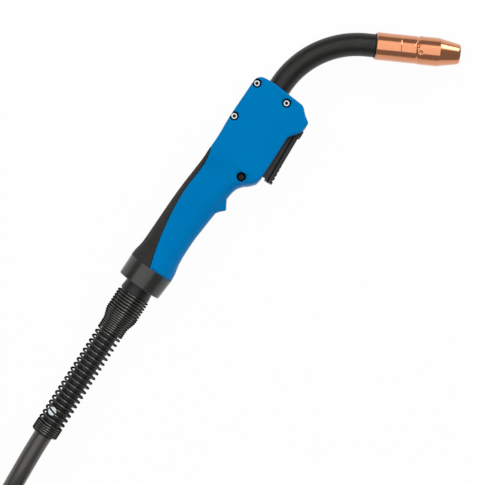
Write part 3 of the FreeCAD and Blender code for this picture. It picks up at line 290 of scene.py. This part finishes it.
def turned(profile, origin, axis, sides=96):
    """A turned piece: a ring drawn along its axis through (along, radius) points, in millimetres.
    Where the last point is the first, the wall closes on itself, and otherwise both ends get a face."""
    deselect()
    bpy.ops.mesh.primitive_circle_add(
        vertices=sides, radius=profile[0][1] * MM, location=(0, 0, profile[0][0] * MM), fill_type="NOTHING")
    piece = bpy.context.object
    bpy.ops.object.mode_set(mode="EDIT")
    bpy.ops.mesh.select_all(action="SELECT")
    closed = profile[0] == profile[-1]
    if not closed:
        bpy.ops.mesh.edge_face_add()
        bpy.ops.mesh.region_to_loop()
    for (before, wide), (along, radius) in zip(profile, profile[1:]):
        bpy.ops.mesh.extrude_region_move(TRANSFORM_OT_translate={"value": (0, 0, (along - before) * MM)})
        ratio = radius / wide
        bpy.ops.transform.resize(value=(ratio, ratio, 1), center_override=(0, 0, along * MM))
    if not closed:
        bpy.ops.mesh.edge_face_add()
    bpy.ops.mesh.select_all(action="SELECT")
    bpy.ops.mesh.remove_doubles(threshold=1e-7)
    bpy.ops.mesh.normals_make_consistent(inside=False)
    bpy.ops.object.mode_set(mode="OBJECT")
    place = axis.to_track_quat("Z", "Y").to_matrix().to_4x4()
    place.translation = origin
    piece.matrix_world = place @ piece.matrix_world
    apply_place(piece)
    return piece


def apply_place(piece):
    only(piece)
    bpy.ops.object.transform_apply(location=True, rotation=True, scale=True)


def settle(piece, name, *nodes, finish=None):
    """Names a finished piece and sets it in place of its nodes, under their body. It gets the
    slot's own finish where no other is named."""
    slot = SLOTS[nodes[0]]
    piece.name = name
    piece.data.name = name
    piece.data.materials.clear()
    piece.data.materials.append(finish_named(finish or slot))
    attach(piece, BODIES[nodes[0]])
    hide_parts(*nodes)


def shade_faces(piece, finish, wanted):
    """Gives a second finish, a painted shade, to the faces for which wanted(centre) holds."""
    piece.data.materials.append(finish_named(finish))
    for face in piece.data.polygons:
        if wanted(face.center):
            face.material_index = 1


def dress(node, name, width=0.0, segments=2):
    """Softens the edges of a copy of a node whose own shape is right, and sets it in its place."""
    piece = merged_copy(node)
    if width:
        flat_faces(piece)
        bevel(piece, width, segments)
    smooth(piece)
    settle(piece, name, node)


def line_of(name, points):
    """A smooth line through the neighbourhood of its points, as a curve object."""
    curve = bpy.data.curves.new(name, "CURVE")
    curve.dimensions = "3D"
    spline = curve.splines.new("NURBS")
    spline.points.add(len(points) - 1)
    for knot, place in zip(spline.points, points):
        knot.co = (*place, 1.0)
    spline.order_u = 3
    spline.use_endpoint_u = True
    curve.use_fill_caps = True
    piece = bpy.data.objects.new(name, curve)
    bpy.context.collection.objects.link(piece)
    return piece


# Finishes

FINISH = "finish_"          # before each finish's name, which keeps it apart from the slot's own material
BLUE_SHEEN = (0.0, 0.55, 1.0)


def linear(colour):
    """A colour as it is seen on a screen, as the shader's own values."""
    return tuple(((c + 0.055) / 1.055) ** 2.4 if c > 0.04045 else c / 12.92 for c in colour)


class Finish:
    """A material in the making, with its patterns on the piece's own coordinates."""

    def __init__(self, name, colour, roughness, metallic=0.0):
        self.material = bpy.data.materials.new(FINISH + name)
        self.material.use_nodes = True
        self.nodes = self.material.node_tree.nodes
        self.links = self.material.node_tree.links
        self.shader = self.nodes["Principled BSDF"]
        self.colour = linear(colour)
        self.shader.inputs["Base Color"].default_value = (*self.colour, 1.0)
        self.shader.inputs["Roughness"].default_value = roughness
        self.shader.inputs["Metallic"].default_value = metallic
        self.place = self.nodes.new("ShaderNodeTexCoord").outputs["Object"]

    def turn_to(self, origin, degrees):
        """Sets the patterns' X axis along a heading, from an origin."""
        mapping = self.nodes.new("ShaderNodeMapping")
        mapping.vector_type = "TEXTURE"
        mapping.inputs["Location"].default_value = origin
        mapping.inputs["Rotation"].default_value = (0, 0, math.radians(degrees))
        self.links.new(self.place, mapping.inputs["Vector"])
        self.place = mapping.outputs["Vector"]

    def stretched(self, scale):
        """The pattern's place with its axes scaled."""
        mapping = self.nodes.new("ShaderNodeMapping")
        mapping.inputs["Scale"].default_value = scale
        self.links.new(self.place, mapping.inputs["Vector"])
        return mapping.outputs["Vector"]

    def noise(self, size, detail=2.0, stretch=(1, 1, 1), rough=0.5):
        """Noise whose features are about size millimetres across."""
        node = self.nodes.new("ShaderNodeTexNoise")
        node.inputs["Scale"].default_value = 1 / (size * MM)
        node.inputs["Detail"].default_value = detail
        node.inputs["Roughness"].default_value = rough
        self.links.new(self.stretched(stretch), node.inputs["Vector"])
        return node.outputs["Fac"]

    def spread(self, value, low, high, out_low, out_high):
        """Spreads a value's range over another one."""
        node = self.nodes.new("ShaderNodeMapRange")
        node.inputs["From Min"].default_value = low
        node.inputs["From Max"].default_value = high
        node.inputs["To Min"].default_value = out_low
        node.inputs["To Max"].default_value = out_high
        self.links.new(value, node.inputs["Value"])
        return node.outputs["Result"]

    def tint(self, factor, other):
        """Mixes the present colour towards another by a factor."""
        mix = self.nodes.new("ShaderNodeMix")
        mix.data_type = "RGBA"
        sockets = [s for s in mix.inputs if s.type == "RGBA"]
        base = self.shader.inputs["Base Color"]
        if base.links:
            self.links.new(base.links[0].from_socket, sockets[0])
        else:
            sockets[0].default_value = (*self.colour, 1.0)
        sockets[1].default_value = (*linear(other), 1.0)
        self.links.new(factor, mix.inputs[0])
        self.links.new([s for s in mix.outputs if s.type == "RGBA"][0], base)

    def rough(self, factor, low, high):
        """Varies the roughness between two values with a noise."""
        self.links.new(self.spread(factor, 0.35, 0.65, low, high), self.shader.inputs["Roughness"])

    def bump(self, height, depth, strength):
        """Adds relief of about depth millimetres."""
        node = self.nodes.new("ShaderNodeBump")
        node.inputs["Strength"].default_value = strength
        node.inputs["Distance"].default_value = depth * MM
        self.links.new(height, node.inputs["Height"])
        normal = self.shader.inputs["Normal"]
        if normal.links:
            self.links.new(normal.links[0].from_socket, node.inputs["Normal"])
        self.links.new(node.outputs["Normal"], normal)

    def set(self, **sockets):
        """Sets the shader's inputs by their names, with underscores for spaces."""
        for name, value in sockets.items():
            self.shader.inputs[name.replace("_", " ")].default_value = value


def moulded(name, colour, roughness, gloss=0.5, sheen=(1, 1, 1)):
    """Moulded plastic with a fine spark-eroded grain and slight clouds of gloss."""
    finish = Finish(name, colour, roughness)
    finish.set(Specular_IOR_Level=gloss, Specular_Tint=(*sheen, 1))
    clouds = finish.noise(18.0, 3.0)
    finish.rough(clouds, roughness - 0.05, roughness + 0.07)
    finish.tint(finish.spread(finish.noise(40.0, 2.0), 0.35, 0.7, 0.0, 0.14), [c * 0.86 for c in colour])
    finish.bump(finish.noise(0.5, 2.0), 0.02, 0.5)
    return finish


def rubber(name, colour, roughness, gloss=0.5, dust=0.04):
    """Dark rubber with a matte bloom in its fine pores."""
    finish = Finish(name, colour, roughness)
    finish.set(Specular_IOR_Level=gloss)
    finish.rough(finish.noise(9.0, 4.0), roughness - 0.05, roughness + 0.07)
    light = [min(1.0, c + dust) for c in colour]
    finish.tint(finish.spread(finish.noise(5.0, 5.0, rough=0.65), 0.48, 0.72, 0.0, 0.55), light)
    finish.bump(finish.noise(0.35, 2.0), 0.03, 0.5)
    return finish


def plated(name, colour, roughness=0.28, shade_under=None):
    """Plated steel with fine scratches, painted dark under a height where one is given: painted shade in a socket.
    """
    finish = Finish(name, colour, roughness, 1.0)
    finish.rough(finish.noise(1.2, 4.0, (1, 5, 1)), roughness - 0.08, roughness + 0.14)
    finish.tint(finish.spread(finish.noise(2.5, 3.0), 0.5, 0.75, 0.0, 0.5), [c * 0.7 for c in colour])
    finish.bump(finish.noise(0.3, 2.0, (1, 8, 1)), 0.01, 0.4)
    if shade_under is not None:
        split = finish.nodes.new("ShaderNodeSeparateXYZ")
        finish.links.new(finish.place, split.inputs["Vector"])
        deep = finish.spread(split.outputs["Z"], shade_under - SOCKET_SHADE_FADE * MM, shade_under, 1.0, 0.0)
        finish.tint(deep, (0.1, 0.1, 0.1))
    return finish


def turned_metal(name, colour, origin, degrees, roughness):
    """Metal off a lathe: fine rings about the piece's axis under a thin tarnish."""
    finish = Finish(name, colour, roughness, 1.0)
    finish.turn_to(origin, degrees)
    rings = finish.noise(0.5, 4.0, (1, 0.002, 0.002), 0.7)
    finish.rough(rings, roughness - 0.02, roughness + 0.04)
    finish.bump(rings, 0.002, 0.3)
    return finish


# What a user would change

def colour(name, description, default):
    return bpy.props.FloatVectorProperty(
        name=name, description=description, default=default, subtype="COLOR_GAMMA", size=3, min=0.0, max=1.0)


def length(name, description, default, low, high):
    """A length with its default and limits in millimetres."""
    return bpy.props.FloatProperty(
        name=name, description=description, default=default * MM, min=low * MM, max=high * MM, unit="LENGTH")


class TorchColours(bpy.types.PropertyGroup):
    shell: colour("Shell", "Colour of the two moulded handle shells", (0.0, 0.5, 0.77))
    grip: colour("Grip", "Colour of the soft grip", (0.165, 0.163, 0.15))
    collar: colour("Collar", "Colour of the ring behind the handle", (0.12, 0.118, 0.11))
    neck: colour("Neck", "Colour of the neck's covering", (0.1, 0.094, 0.085))
    cable: colour("Cable", "Colour of the cable's jacket", (0.19, 0.18, 0.15))
    copper: colour("Copper", "Colour of the gas nozzle", (0.84, 0.53, 0.34))


class TorchSizes(bpy.types.PropertyGroup):
    spring_wire: length("Spring wire", "Diameter of the strain relief spring's wire", 1.8, 0.5, 3.0)
    dent_depth: length("Dent depth", "Depth of the punched dents round the nozzle", 1.0, 0.0, 2.0)
    shell_edge: length("Shell edge", "Rounding of the trigger's moulded edges", 0.3, 0.05, 1.0)


# Operators, one for each piece or group of like pieces

def make_finishes(colours):
    """Every finish by its name: one for each slot of the record, and some for dark details, most of them painted
    shade in recesses, grooves and slots.
    """
    nozzle_at = neck_end()
    finishes = {}
    finishes["blue_plastic"] = moulded("blue_plastic", colours.shell, 0.42, 0.07, BLUE_SHEEN)
    finishes["soft_grip"] = rubber("soft_grip", colours.grip, 0.66, 0.25)
    finishes["collar_rubber"] = rubber("collar_rubber", colours.collar, 0.25, 0.68)
    finishes["neck_rubber"] = rubber("neck_rubber", colours.neck, 0.36, 0.35)
    finishes["black_plastic"] = moulded("black_plastic", (0.1, 0.098, 0.095), 0.34, 0.35)
    finishes["insulator"] = moulded("insulator", (0.12, 0.11, 0.1), 0.55)
    copper = turned_metal("copper", colours.copper, nozzle_at, -NECK_BEND, 0.16)
    copper.set(Coat_Weight=1.0, Coat_IOR=1.65, Coat_Roughness=0.1)
    copper.tint(copper.spread(copper.noise(14.0, 4.0), 0.45, 0.75, 0.0, 0.35), (0.76, 0.45, 0.28))
    finishes["copper"] = copper
    finishes["brass"] = turned_metal("brass", (0.82, 0.68, 0.4), nozzle_at, -NECK_BEND, 0.26)
    finishes["bright_steel"] = plated("bright_steel", (0.8, 0.82, 0.83))
    # Painted shade: the shell screws' sockets turn dark below a height just under the heads' tops.
    shade_height = at(0, 0, SHELL_SCREW_FLOOR + SCREW_TOP - SOCKET_SHADE_FROM).z
    finishes["socket_steel"] = plated("socket_steel", (0.78, 0.8, 0.82), 0.28, shade_height)
    # Painted shade: a dark navy copy of the shell's blue, for the counterbores' walls and floors.
    finishes["blue_painted_shade"] = moulded("blue_painted_shade", [c * 0.3 for c in colours.shell], 0.6, 0.05)
    # Painted shade: near black for the lever's groove and rib zone and the clamp screw's slot.
    finishes["painted_gap_shade"] = moulded("painted_gap_shade", (0.015, 0.015, 0.015), 0.8, 0.05)
    finishes["dark_steel"] = plated("dark_steel", (0.2, 0.18, 0.17), 0.4)
    spring = Finish("spring_wire", (0.36, 0.36, 0.35), 0.2, 1.0)
    spring.set(Specular_Tint=(0.1, 0.1, 0.1, 1))
    spring.rough(spring.noise(3.0, 4.0), 0.14, 0.28)
    spring.bump(spring.noise(0.5, 2.0), 0.015, 0.4)
    finishes["spring_wire"] = spring
    finishes["dark_sleeve"] = rubber("dark_sleeve", (0.05, 0.05, 0.045), 0.5, 0.5, 0.02)
    cable = rubber("cable_jacket", colours.cable, 0.32, 0.9)
    cable.bump(cable.noise(1.1, 3.0, (0.05, 1, 1)), 0.05, 0.35)
    finishes["cable_jacket"] = cable
    finishes["boot_rubber"] = rubber("boot_rubber", (0.11, 0.11, 0.11), 0.55)
    finishes["lead_insulation"] = moulded("lead_insulation", (0.6, 0.1, 0.08), 0.35)
    strap = Finish("strap", (0.09, 0.09, 0.09), 0.85)
    weave = strap.nodes.new("ShaderNodeTexWave")
    weave.inputs["Scale"].default_value = 900.0
    strap.links.new(strap.place, weave.inputs["Vector"])
    strap.bump(weave.outputs["Fac"], 0.15, 0.8)
    strap.tint(strap.spread(strap.noise(0.8, 3.0), 0.4, 0.7, 0.0, 0.6), (0.17, 0.17, 0.17))
    finishes["strap"] = strap
    finishes["switch_button"] = moulded("switch_button", (0.75, 0.12, 0.1), 0.35)
    return {name: finish.material for name, finish in finishes.items()}


def finish_named(name):
    material = bpy.data.materials.get(FINISH + name)
    if material is None:
        raise RuntimeError("the finish " + name + " isn't made yet")
    return material


class TORCH_OT_finishes(bpy.types.Operator):
    """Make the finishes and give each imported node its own."""
    bl_idname = "torch.finishes"
    bl_label = "Finishes"

    def execute(self, context):
        finishes = make_finishes(context.scene.torch_colours)
        for subpart in frame["record"]["subparts"]:
            node = frame["nodes"][subpart["node"]]
            node.data.materials.clear()
            node.data.materials.append(finishes[subpart["material_slot"]])
        return {"FINISHED"}


class TORCH_OT_stage(bpy.types.Operator):
    """Set the camera, the pale floor and the soft lamps."""
    bl_idname = "torch.stage"
    bl_label = "Camera, floor and lamps"

    def execute(self, context):
        set_camera(context)
        set_floor()
        set_sky(context)
        set_lamps(context)
        context.scene.view_settings.view_transform = "Standard"
        return {"FINISHED"}


def set_camera(context):
    data = bpy.data.cameras.new("camera")
    data.sensor_width = CAMERA_SENSOR
    data.lens = data.sensor_width * CAMERA_HEIGHT / CAMERA_FIELD
    camera = bpy.data.objects.new("camera", data)
    context.collection.objects.link(camera)
    roll = math.radians(CAMERA_ROLL)
    right = Vector((math.cos(roll), -math.sin(roll), 0))
    up = Vector((math.sin(roll), math.cos(roll), 0))
    place = Matrix((right, up, UP)).transposed().to_4x4()
    place.translation = at(*CAMERA_AIM) + UP * CAMERA_HEIGHT
    camera.matrix_world = place
    context.scene.camera = camera


def set_floor():
    deselect()
    bpy.ops.mesh.primitive_plane_add(size=FLOOR_SIZE, location=(0, 0, -FLOOR_DROP))
    floor = bpy.context.object
    floor.name = "floor"
    material = bpy.data.materials.new("floor")
    material.use_nodes = True
    nodes = material.node_tree.nodes
    links = material.node_tree.links
    shader = nodes["Principled BSDF"]
    shader.inputs["Base Color"].default_value = (FLOOR_GREY, FLOOR_GREY, FLOOR_GREY, 1)
    shader.inputs["Roughness"].default_value = 0.9
    shader.inputs["Specular IOR Level"].default_value = 0.1
    glow = nodes.new("ShaderNodeEmission")
    glow.inputs["Strength"].default_value = 1.0
    seen = nodes.new("ShaderNodeLightPath")
    mirrored = nodes.new("ShaderNodeMath")
    mirrored.operation = "ADD"
    links.new(seen.outputs["Is Camera Ray"], mirrored.inputs[0])
    links.new(seen.outputs["Is Glossy Ray"], mirrored.inputs[1])
    share = nodes.new("ShaderNodeMath")
    share.operation = "MULTIPLY"
    share.inputs[1].default_value = FLOOR_GLOW
    links.new(mirrored.outputs[0], share.inputs[0])
    both = nodes.new("ShaderNodeMixShader")
    links.new(share.outputs[0], both.inputs["Fac"])
    links.new(shader.outputs[0], both.inputs[1])
    links.new(glow.outputs[0], both.inputs[2])
    links.new(both.outputs[0], nodes["Material Output"].inputs["Surface"])
    floor.data.materials.append(material)


def set_sky(context):
    """A white wall all round that fades into a dimmer ceiling."""
    world = bpy.data.worlds.new("studio")
    world.use_nodes = True
    nodes = world.node_tree.nodes
    links = world.node_tree.links
    direction = nodes.new("ShaderNodeTexCoord")
    split = nodes.new("ShaderNodeSeparateXYZ")
    links.new(direction.outputs["Generated"], split.inputs["Vector"])
    fade = nodes.new("ShaderNodeMapRange")
    fade.inputs["From Min"].default_value = WALL_TOP[0]
    fade.inputs["From Max"].default_value = WALL_TOP[1]
    fade.inputs["To Min"].default_value = WALL_LIGHT
    fade.inputs["To Max"].default_value = CEILING_LIGHT
    links.new(split.outputs["Z"], fade.inputs["Value"])
    air = nodes["Background"]
    air.inputs["Color"].default_value = (1, 1, 1, 1)
    links.new(fade.outputs["Result"], air.inputs["Strength"])
    context.scene.world = world


def set_lamps(context):
    for name, place, faced, width_heading, width, height, watts in LAMPS:
        data = bpy.data.lights.new(name, "AREA")
        data.shape = "RECTANGLE"
        data.size = width
        data.size_y = height
        data.energy = watts
        back = (Vector(place) - Vector(faced)).normalized()
        along = heading(width_heading)
        along = (along - back * along.dot(back)).normalized()
        pose = Matrix((along, back.cross(along), back)).transposed().to_4x4()
        pose.translation = place
        lamp = bpy.data.objects.new(name, data)
        lamp.matrix_world = pose
        context.collection.objects.link(lamp)


def eased(u):
    """A smooth step from 0 to 1."""
    u = max(0.0, min(1.0, u))
    return u * u * (3 - 2 * u)


def coil_point(t, swell=1.0):
    """The stored coil's line: a spiral in, a climb of one layer, and a spiral out on top."""
    turn_back = COIL_IN + COIL_CLIMB / 2
    reach = math.hypot(turn_back, COIL_EASE) - math.hypot(t - turn_back, COIL_EASE)
    radius = (COIL_START_R - COIL_PITCH * reach) * swell
    angle = math.pi / 2 + 2 * math.pi * t
    height = COIL_LAYER * eased((t - COIL_IN) / COIL_CLIMB)
    place = COIL_CENTRE + Vector((radius * math.cos(angle), radius * math.sin(angle), height))
    return at(*place)


def tail_heading():
    step = 1e-4
    return (coil_point(COIL_TURNS) - coil_point(COIL_TURNS - step)).normalized()


class TORCH_OT_cable(bpy.types.Operator):
    """Lay the free cable: its lead from the spring, the stored coil and the tail into the plug."""
    bl_idname = "torch.cable"
    bl_label = "Cable"

    def execute(self, context):
        swell = 1 / math.cos(math.pi / COIL_POINTS)
        count = round(COIL_TURNS * COIL_POINTS)
        points = [at(*p) for p in LEAD]
        points += [coil_point(COIL_TURNS * i / count, swell) for i in range(1, count)]
        end = coil_point(COIL_TURNS)
        ahead = tail_heading()
        points += [end + ahead * reach * MM for reach in (0, TAIL / 2, TAIL, TAIL + CORD_IN_PLUG)]
        cord = line_of("free_cable", points)
        cord.data.bevel_depth = CABLE_R * MM
        cord.data.bevel_resolution = 8
        cord.data.resolution_u = 5
        settle(cord, "free_cable", "cable_lead", "cable_coil", "cable_tail")
        return {"FINISHED"}


def in_counterbore(place):
    """Whether a place lies over the parting plane and near a handle screw's axis, where the shells get painted
    shade. It takes in the walls and floors of the counterbores, and strips of the head's back beside the two
    screws next to it."""
    axes = [at(x, y) for x, y in SHELL_SCREWS + [DEEP_SCREW]]
    near = any(((place - axis) / MM).xy.length < COUNTERBORE_REACH for axis in axes)
    return near and place.z > ZERO.z


class TORCH_OT_handle(bpy.types.Operator):
    """Smooth the moulded handle shells and their soft grips."""
    bl_idname = "torch.handle"
    bl_label = "Handle"

    def execute(self, context):
        for side in ("left", "right"):
            dress("handle_shell_" + side, "blue_shell_" + side)
            # Painted shade on the faces in and beside the counterbores.
            shade_faces(bpy.data.objects["blue_shell_" + side], "blue_painted_shade", in_counterbore)
            dress("grip_overmold_" + side, "soft_grip_" + side)
        return {"FINISHED"}


# Fittings whose own shape is right: node, new name, rounding of the edges in millimetres
FITTINGS = [
    ("collar", "collar_ring", 0.3), ("spring_seat", "spring_seat_ring", 0.25),
    ("cable_in_torch", "cable_under_spring", 0.0), ("neck_jacket", "neck_cover", 0.3),
    ("neck_end_cap", "neck_cap", 0.0), ("clamp_screw", "slotted_screw", 0.15),
]
INNER_PIECES = [
    ("contact_tip", "welding_tip", 0.0), ("gas_diffuser", "diffuser", 0.0),
    ("retaining_ring", "split_ring", 0.0), ("nozzle_insulator", "nozzle_liner", 0.0),
    ("nozzle_insert", "nozzle_sleeve", 0.0), ("neck_insulation", "neck_sleeve", 0.0),
    ("neck_conductor", "neck_pipe", 0.0), ("neck_nut", "neck_hexagon_nut", 0.2),
    ("wire_liner", "wire_guide", 0.0), ("cable_core", "cable_strands", 0.0),
    ("cable_connector", "cable_joint", 0.0), ("set_screws", "grub_screws", 0.1),
    ("switch_body", "switch_case", 0.3), ("switch_plunger", "switch_pin", 0.1),
    ("switch_terminals", "switch_blades", 0.0), ("switch_leads", "switch_wires", 0.0),
]


def darken_slot(screw):
    """Paints shade on the faces of the slot across the clamp screw's head, with the near-black painted-shade
    finish.
    """
    tilt = math.radians(CLAMP_SCREW_TILT)
    out = Vector((0, math.sin(tilt), math.cos(tilt)))
    foot = at(CLAMP_SCREW_X, 0)
    floor, top = CLAMP_SLOT_HEIGHTS

    def in_slot(place):
        reach = place - foot
        height = reach.dot(out)
        return floor < height / MM < top and (reach - out * height).length / MM < CLAMP_SLOT_R

    shade_faces(screw, "painted_gap_shade", in_slot)


class TORCH_OT_fittings(bpy.types.Operator):
    """Smooth and bevel the collar, the neck and the other fittings, outside and inside."""
    bl_idname = "torch.fittings"
    bl_label = "Collar, neck and inner pieces"

    def execute(self, context):
        for node, name, width in FITTINGS + INNER_PIECES:
            dress(node, name, width)
        darken_slot(bpy.data.objects["slotted_screw"])
        ring = turned(CLAMP_RING, at(0, 0), heading(0))
        smooth(ring)
        settle(ring, "spring_clamp_ring", "clamp_ring", finish="dark_sleeve")
        return {"FINISHED"}


def socket_screw(x, y, floor):
    """A cap screw with a chamfered head and a hexagon socket, its head on a floor of that height."""
    screw = turned([(SHANK_END - floor, SHANK_R)] + SCREW_HEAD, at(x, y, floor), UP, SCREW_SIDES)
    deselect()
    bpy.ops.mesh.primitive_cylinder_add(
        vertices=6, radius=SOCKET_ACROSS / 2 / math.cos(math.pi / 6) * MM, depth=2 * SOCKET_DEPTH * MM,
        location=at(x, y, floor + SCREW_TOP), rotation=(0, 0, math.radians(x)))
    cutter = bpy.context.object
    apply_place(cutter)
    cut_with(screw, cutter)
    bevel(screw, FINE_EDGE, angle=25.0)
    smooth(screw)
    return screw


class TORCH_OT_screws(bpy.types.Operator):
    """Turn the four socket screws of the handle and cut their hexagons."""
    bl_idname = "torch.screws"
    bl_label = "Handle screws"

    def execute(self, context):
        screws = [socket_screw(x, y, SHELL_SCREW_FLOOR) for x, y in SHELL_SCREWS]
        deselect()
        for screw in screws:
            screw.select_set(True)
        context.view_layer.objects.active = screws[0]
        bpy.ops.object.join()
        settle(screws[0], "shell_screws", "handle_screws", finish="socket_steel")
        deep = socket_screw(*DEEP_SCREW, DEEP_SCREW_FLOOR)
        settle(deep, "deep_screw", "recessed_screw")
        return {"FINISHED"}


def spring_point(t):
    """The spring's line, t turns from the collar's end: its place along X and its radius."""
    wire_r = bpy.context.scene.torch_sizes.spring_wire / 2 / MM
    x = SPRING_FACE_X - wire_r
    radius = SPRING_HEAD_R
    for count, pitch, after in SPRING_STRETCHES:
        part = min(t, count)
        x -= part * pitch
        radius += (after - radius) * eased(part / count)
        t -= part
        if t <= 0:
            break
    return x, radius - wire_r


class TORCH_OT_spring(bpy.types.Operator):
    """Wind the long wire spring from the collar to the clamp."""
    bl_idname = "torch.spring"
    bl_label = "Strain relief spring"

    def execute(self, context):
        count = sum(stretch[0] for stretch in SPRING_STRETCHES)
        swell = 1 / math.cos(math.pi / SPRING_POINTS)
        points = []
        for i in range(round(count * SPRING_POINTS) + 1):
            t = i / SPRING_POINTS
            x, middle = spring_point(t)
            angle = 2 * math.pi * (t + SPRING_START)
            points.append(at(x, middle * swell * math.cos(angle), middle * swell * math.sin(angle)))
        piece = line_of("spring", points)
        piece.data.bevel_depth = context.scene.torch_sizes.spring_wire / 2
        piece.data.bevel_resolution = 3
        piece.data.resolution_u = 3
        only(piece)
        bpy.ops.object.convert(target="MESH")
        piece = context.object
        smooth(piece, angle=60.0, weighted=False)
        settle(piece, "wire_spring", "strain_relief_spring")
        return {"FINISHED"}


def finer(profile, start, end, step):
    """The profile with more rings between two places."""
    rings = []
    for (a, ra), (b, rb) in zip(profile, profile[1:]):
        rings.append((a, ra))
        if b <= start or a >= end:
            continue
        count = max(1, math.ceil((b - a) / step))
        for i in range(1, count):
            share = i / count
            rings.append((a + (b - a) * share, ra + (rb - ra) * share))
    rings.append(profile[-1])
    return rings


class TORCH_OT_nozzle(bpy.types.Operator):
    """Turn the copper gas nozzle with its waist, punched dents and tapered mouth."""
    bl_idname = "torch.nozzle"
    bl_label = "Gas nozzle"

    def execute(self, context):
        outside = finer(NOZZLE_OUTSIDE, *DENT_ZONE)
        profile = outside + NOZZLE_INSIDE + outside[:1]
        origin = neck_end()
        ahead = heading(-NECK_BEND)
        piece = turned(profile, origin, ahead, NOZZLE_SIDES)
        self.punch(piece, origin, ahead, context.scene.torch_sizes.dent_depth)
        bevel(piece, FINE_EDGE, angle=50.0)
        smooth(piece, angle=40.0)
        settle(piece, "copper_nozzle", "nozzle")
        return {"FINISHED"}

    def punch(self, piece, origin, ahead, depth):
        """Presses the two rows of dents into the wall's outside."""
        side = UP.cross(ahead)
        turn = 360 / DENTS_ROUND
        for vertex in piece.data.vertices:
            reach = vertex.co - origin
            along = reach.dot(ahead) / MM
            out = reach - ahead * reach.dot(ahead)
            if out.length < NOZZLE_MID_WALL * MM:
                continue
            angle = math.degrees(math.atan2(out.dot(side), out.dot(UP)))
            for place, first, half_length, half_width in DENTS:
                off = (angle - first + turn / 2) % turn - turn / 2
                across = math.radians(off) * out.length / MM
                gap = math.hypot((along - place) / half_length, across / half_width)
                if gap < DENT_REACH:
                    press = math.exp(-(gap * DENT_SLOPE) ** 4)
                    vertex.co -= out.normalized() * depth * press


class TORCH_OT_trigger(bpy.types.Operator):
    """Groove and bevel the ribbed trigger lever, soften the channel round it, and paint shade into the groove and
    over the ribs.
    """
    bl_idname = "torch.trigger"
    bl_label = "Trigger"

    def execute(self, context):
        edge = context.scene.torch_sizes.shell_edge / MM
        dress("trigger_housing", "trigger_channel", CHANNEL_ROUNDING * edge, 3)
        dress("trigger_pin", "pivot_pin", 0.1)
        lever = merged_copy("trigger_lever")
        flat_faces(lever)
        self.groove(lever)
        rib_start, _, rib_across = line_frame(RIB_LINE)
        bisect(lever, rib_start, rib_across)
        bevel(lever, edge * LEVER_ROUNDING)
        smooth(lever)
        settle(lever, "ribbed_trigger", "trigger_lever")
        start, _, across = line_frame(GROOVE_LINE)

        def in_shade(place):
            drop = (start - place).dot(across) / MM
            sunk = abs(place.z - ZERO.z) < LEVER_SUNK * MM
            on_rib = (place - rib_start).dot(rib_across) < 0 and place.x < at(*RIB_LINE[1]).x
            return on_rib or (sunk and -GROOVE_SLACK < drop < GROOVE_WIDTH + GROOVE_SLACK)

        # Painted shade: the groove's faces and the lever's rib zone below its line get the near-black finish.
        shade_faces(lever, "painted_gap_shade", in_shade)
        return {"FINISHED"}

    def groove(self, lever):
        """Presses the groove into both sides of the lever."""
        start, along, across = line_frame(GROOVE_LINE)
        first, last = GROOVE_ENDS
        for place, normal in ((start, across), (start - across * GROOVE_WIDTH * MM, across),
                              (at(first, 0), along), (at(last, 0), along)):
            bisect(lever, place, normal)

        def in_groove(centre):
            drop = (start - centre).dot(across) / MM
            x = (centre.x - ZERO.x) / MM
            inside = 0 < drop < GROOVE_WIDTH and first < x < last
            return inside and abs(centre.z - ZERO.z) > LEVER_FLAT * MM

        for side in (1, -1):
            push_faces(lever, lambda centre, normal: normal.z * side > FACING and in_groove(centre),
                       (0, 0, -side * GROOVE_DEPTH))


# Machine plug and straps: node, new name, rounding of the edges in millimetres
PLUG_PIECES = [
    ("plug_boot", "cable_boot", 0.3), ("plug_housing_upper", "plug_shell_upper", 0.5),
    ("plug_housing_lower", "plug_shell_lower", 0.5), ("coupling_nut", "fluted_nut", 0.3),
    ("plug_body", "plug_insert", 0.15), ("plug_pin", "plug_stem", 0.15),
    ("pin_o_ring", "stem_seal", 0.0), ("contact_pin_a", "switch_contact_a", 0.0),
    ("contact_pin_b", "switch_contact_b", 0.0), ("plug_screws", "plug_shell_screws", 0.0),
    ("coil_ties", "coil_straps", 0.3),
]


class TORCH_OT_plug(bpy.types.Operator):
    """Smooth the machine plug at the cable's far end and the straps round the coil."""
    bl_idname = "torch.plug"
    bl_label = "Plug and straps"

    def execute(self, context):
        for node, name, width in PLUG_PIECES:
            dress(node, name, width)
        return {"FINISHED"}


class TORCH_PT_panel(bpy.types.Panel):
    """The torch's pieces in the order in which they are made."""
    bl_label = "Torch"
    bl_idname = "TORCH_PT_panel"
    bl_space_type = "VIEW_3D"
    bl_region_type = "UI"
    bl_category = "Torch"

    def draw(self, context):
        for group in (context.scene.torch_colours, context.scene.torch_sizes):
            for name in group.bl_rna.properties.keys():
                if name not in ("rna_type", "name"):
                    self.layout.prop(group, name)
        for operator in OPERATORS:
            self.layout.operator(operator.bl_idname)


OPERATORS = (
    TORCH_OT_stage, TORCH_OT_finishes, TORCH_OT_plug, TORCH_OT_cable, TORCH_OT_handle,
    TORCH_OT_fittings, TORCH_OT_screws, TORCH_OT_spring, TORCH_OT_nozzle, TORCH_OT_trigger,
)
CLASSES = (TorchColours, TorchSizes, *OPERATORS, TORCH_PT_panel)


def register():
    for made in CLASSES:
        bpy.utils.register_class(made)
    bpy.types.Scene.torch_colours = bpy.props.PointerProperty(type=TorchColours)
    bpy.types.Scene.torch_sizes = bpy.props.PointerProperty(type=TorchSizes)


def unregister():
    del bpy.types.Scene.torch_sizes
    del bpy.types.Scene.torch_colours
    for made in reversed(CLASSES):
        bpy.utils.unregister_class(made)


def main():
    register()
    bpy.ops.torch.stage()
    bpy.ops.torch.finishes()
    bpy.ops.torch.plug()
    bpy.ops.torch.cable()
    bpy.ops.torch.handle()
    bpy.ops.torch.fittings()
    bpy.ops.torch.screws()
    bpy.ops.torch.spring()
    bpy.ops.torch.nozzle()
    bpy.ops.torch.trigger()


if __name__ == "__main__":
    main()
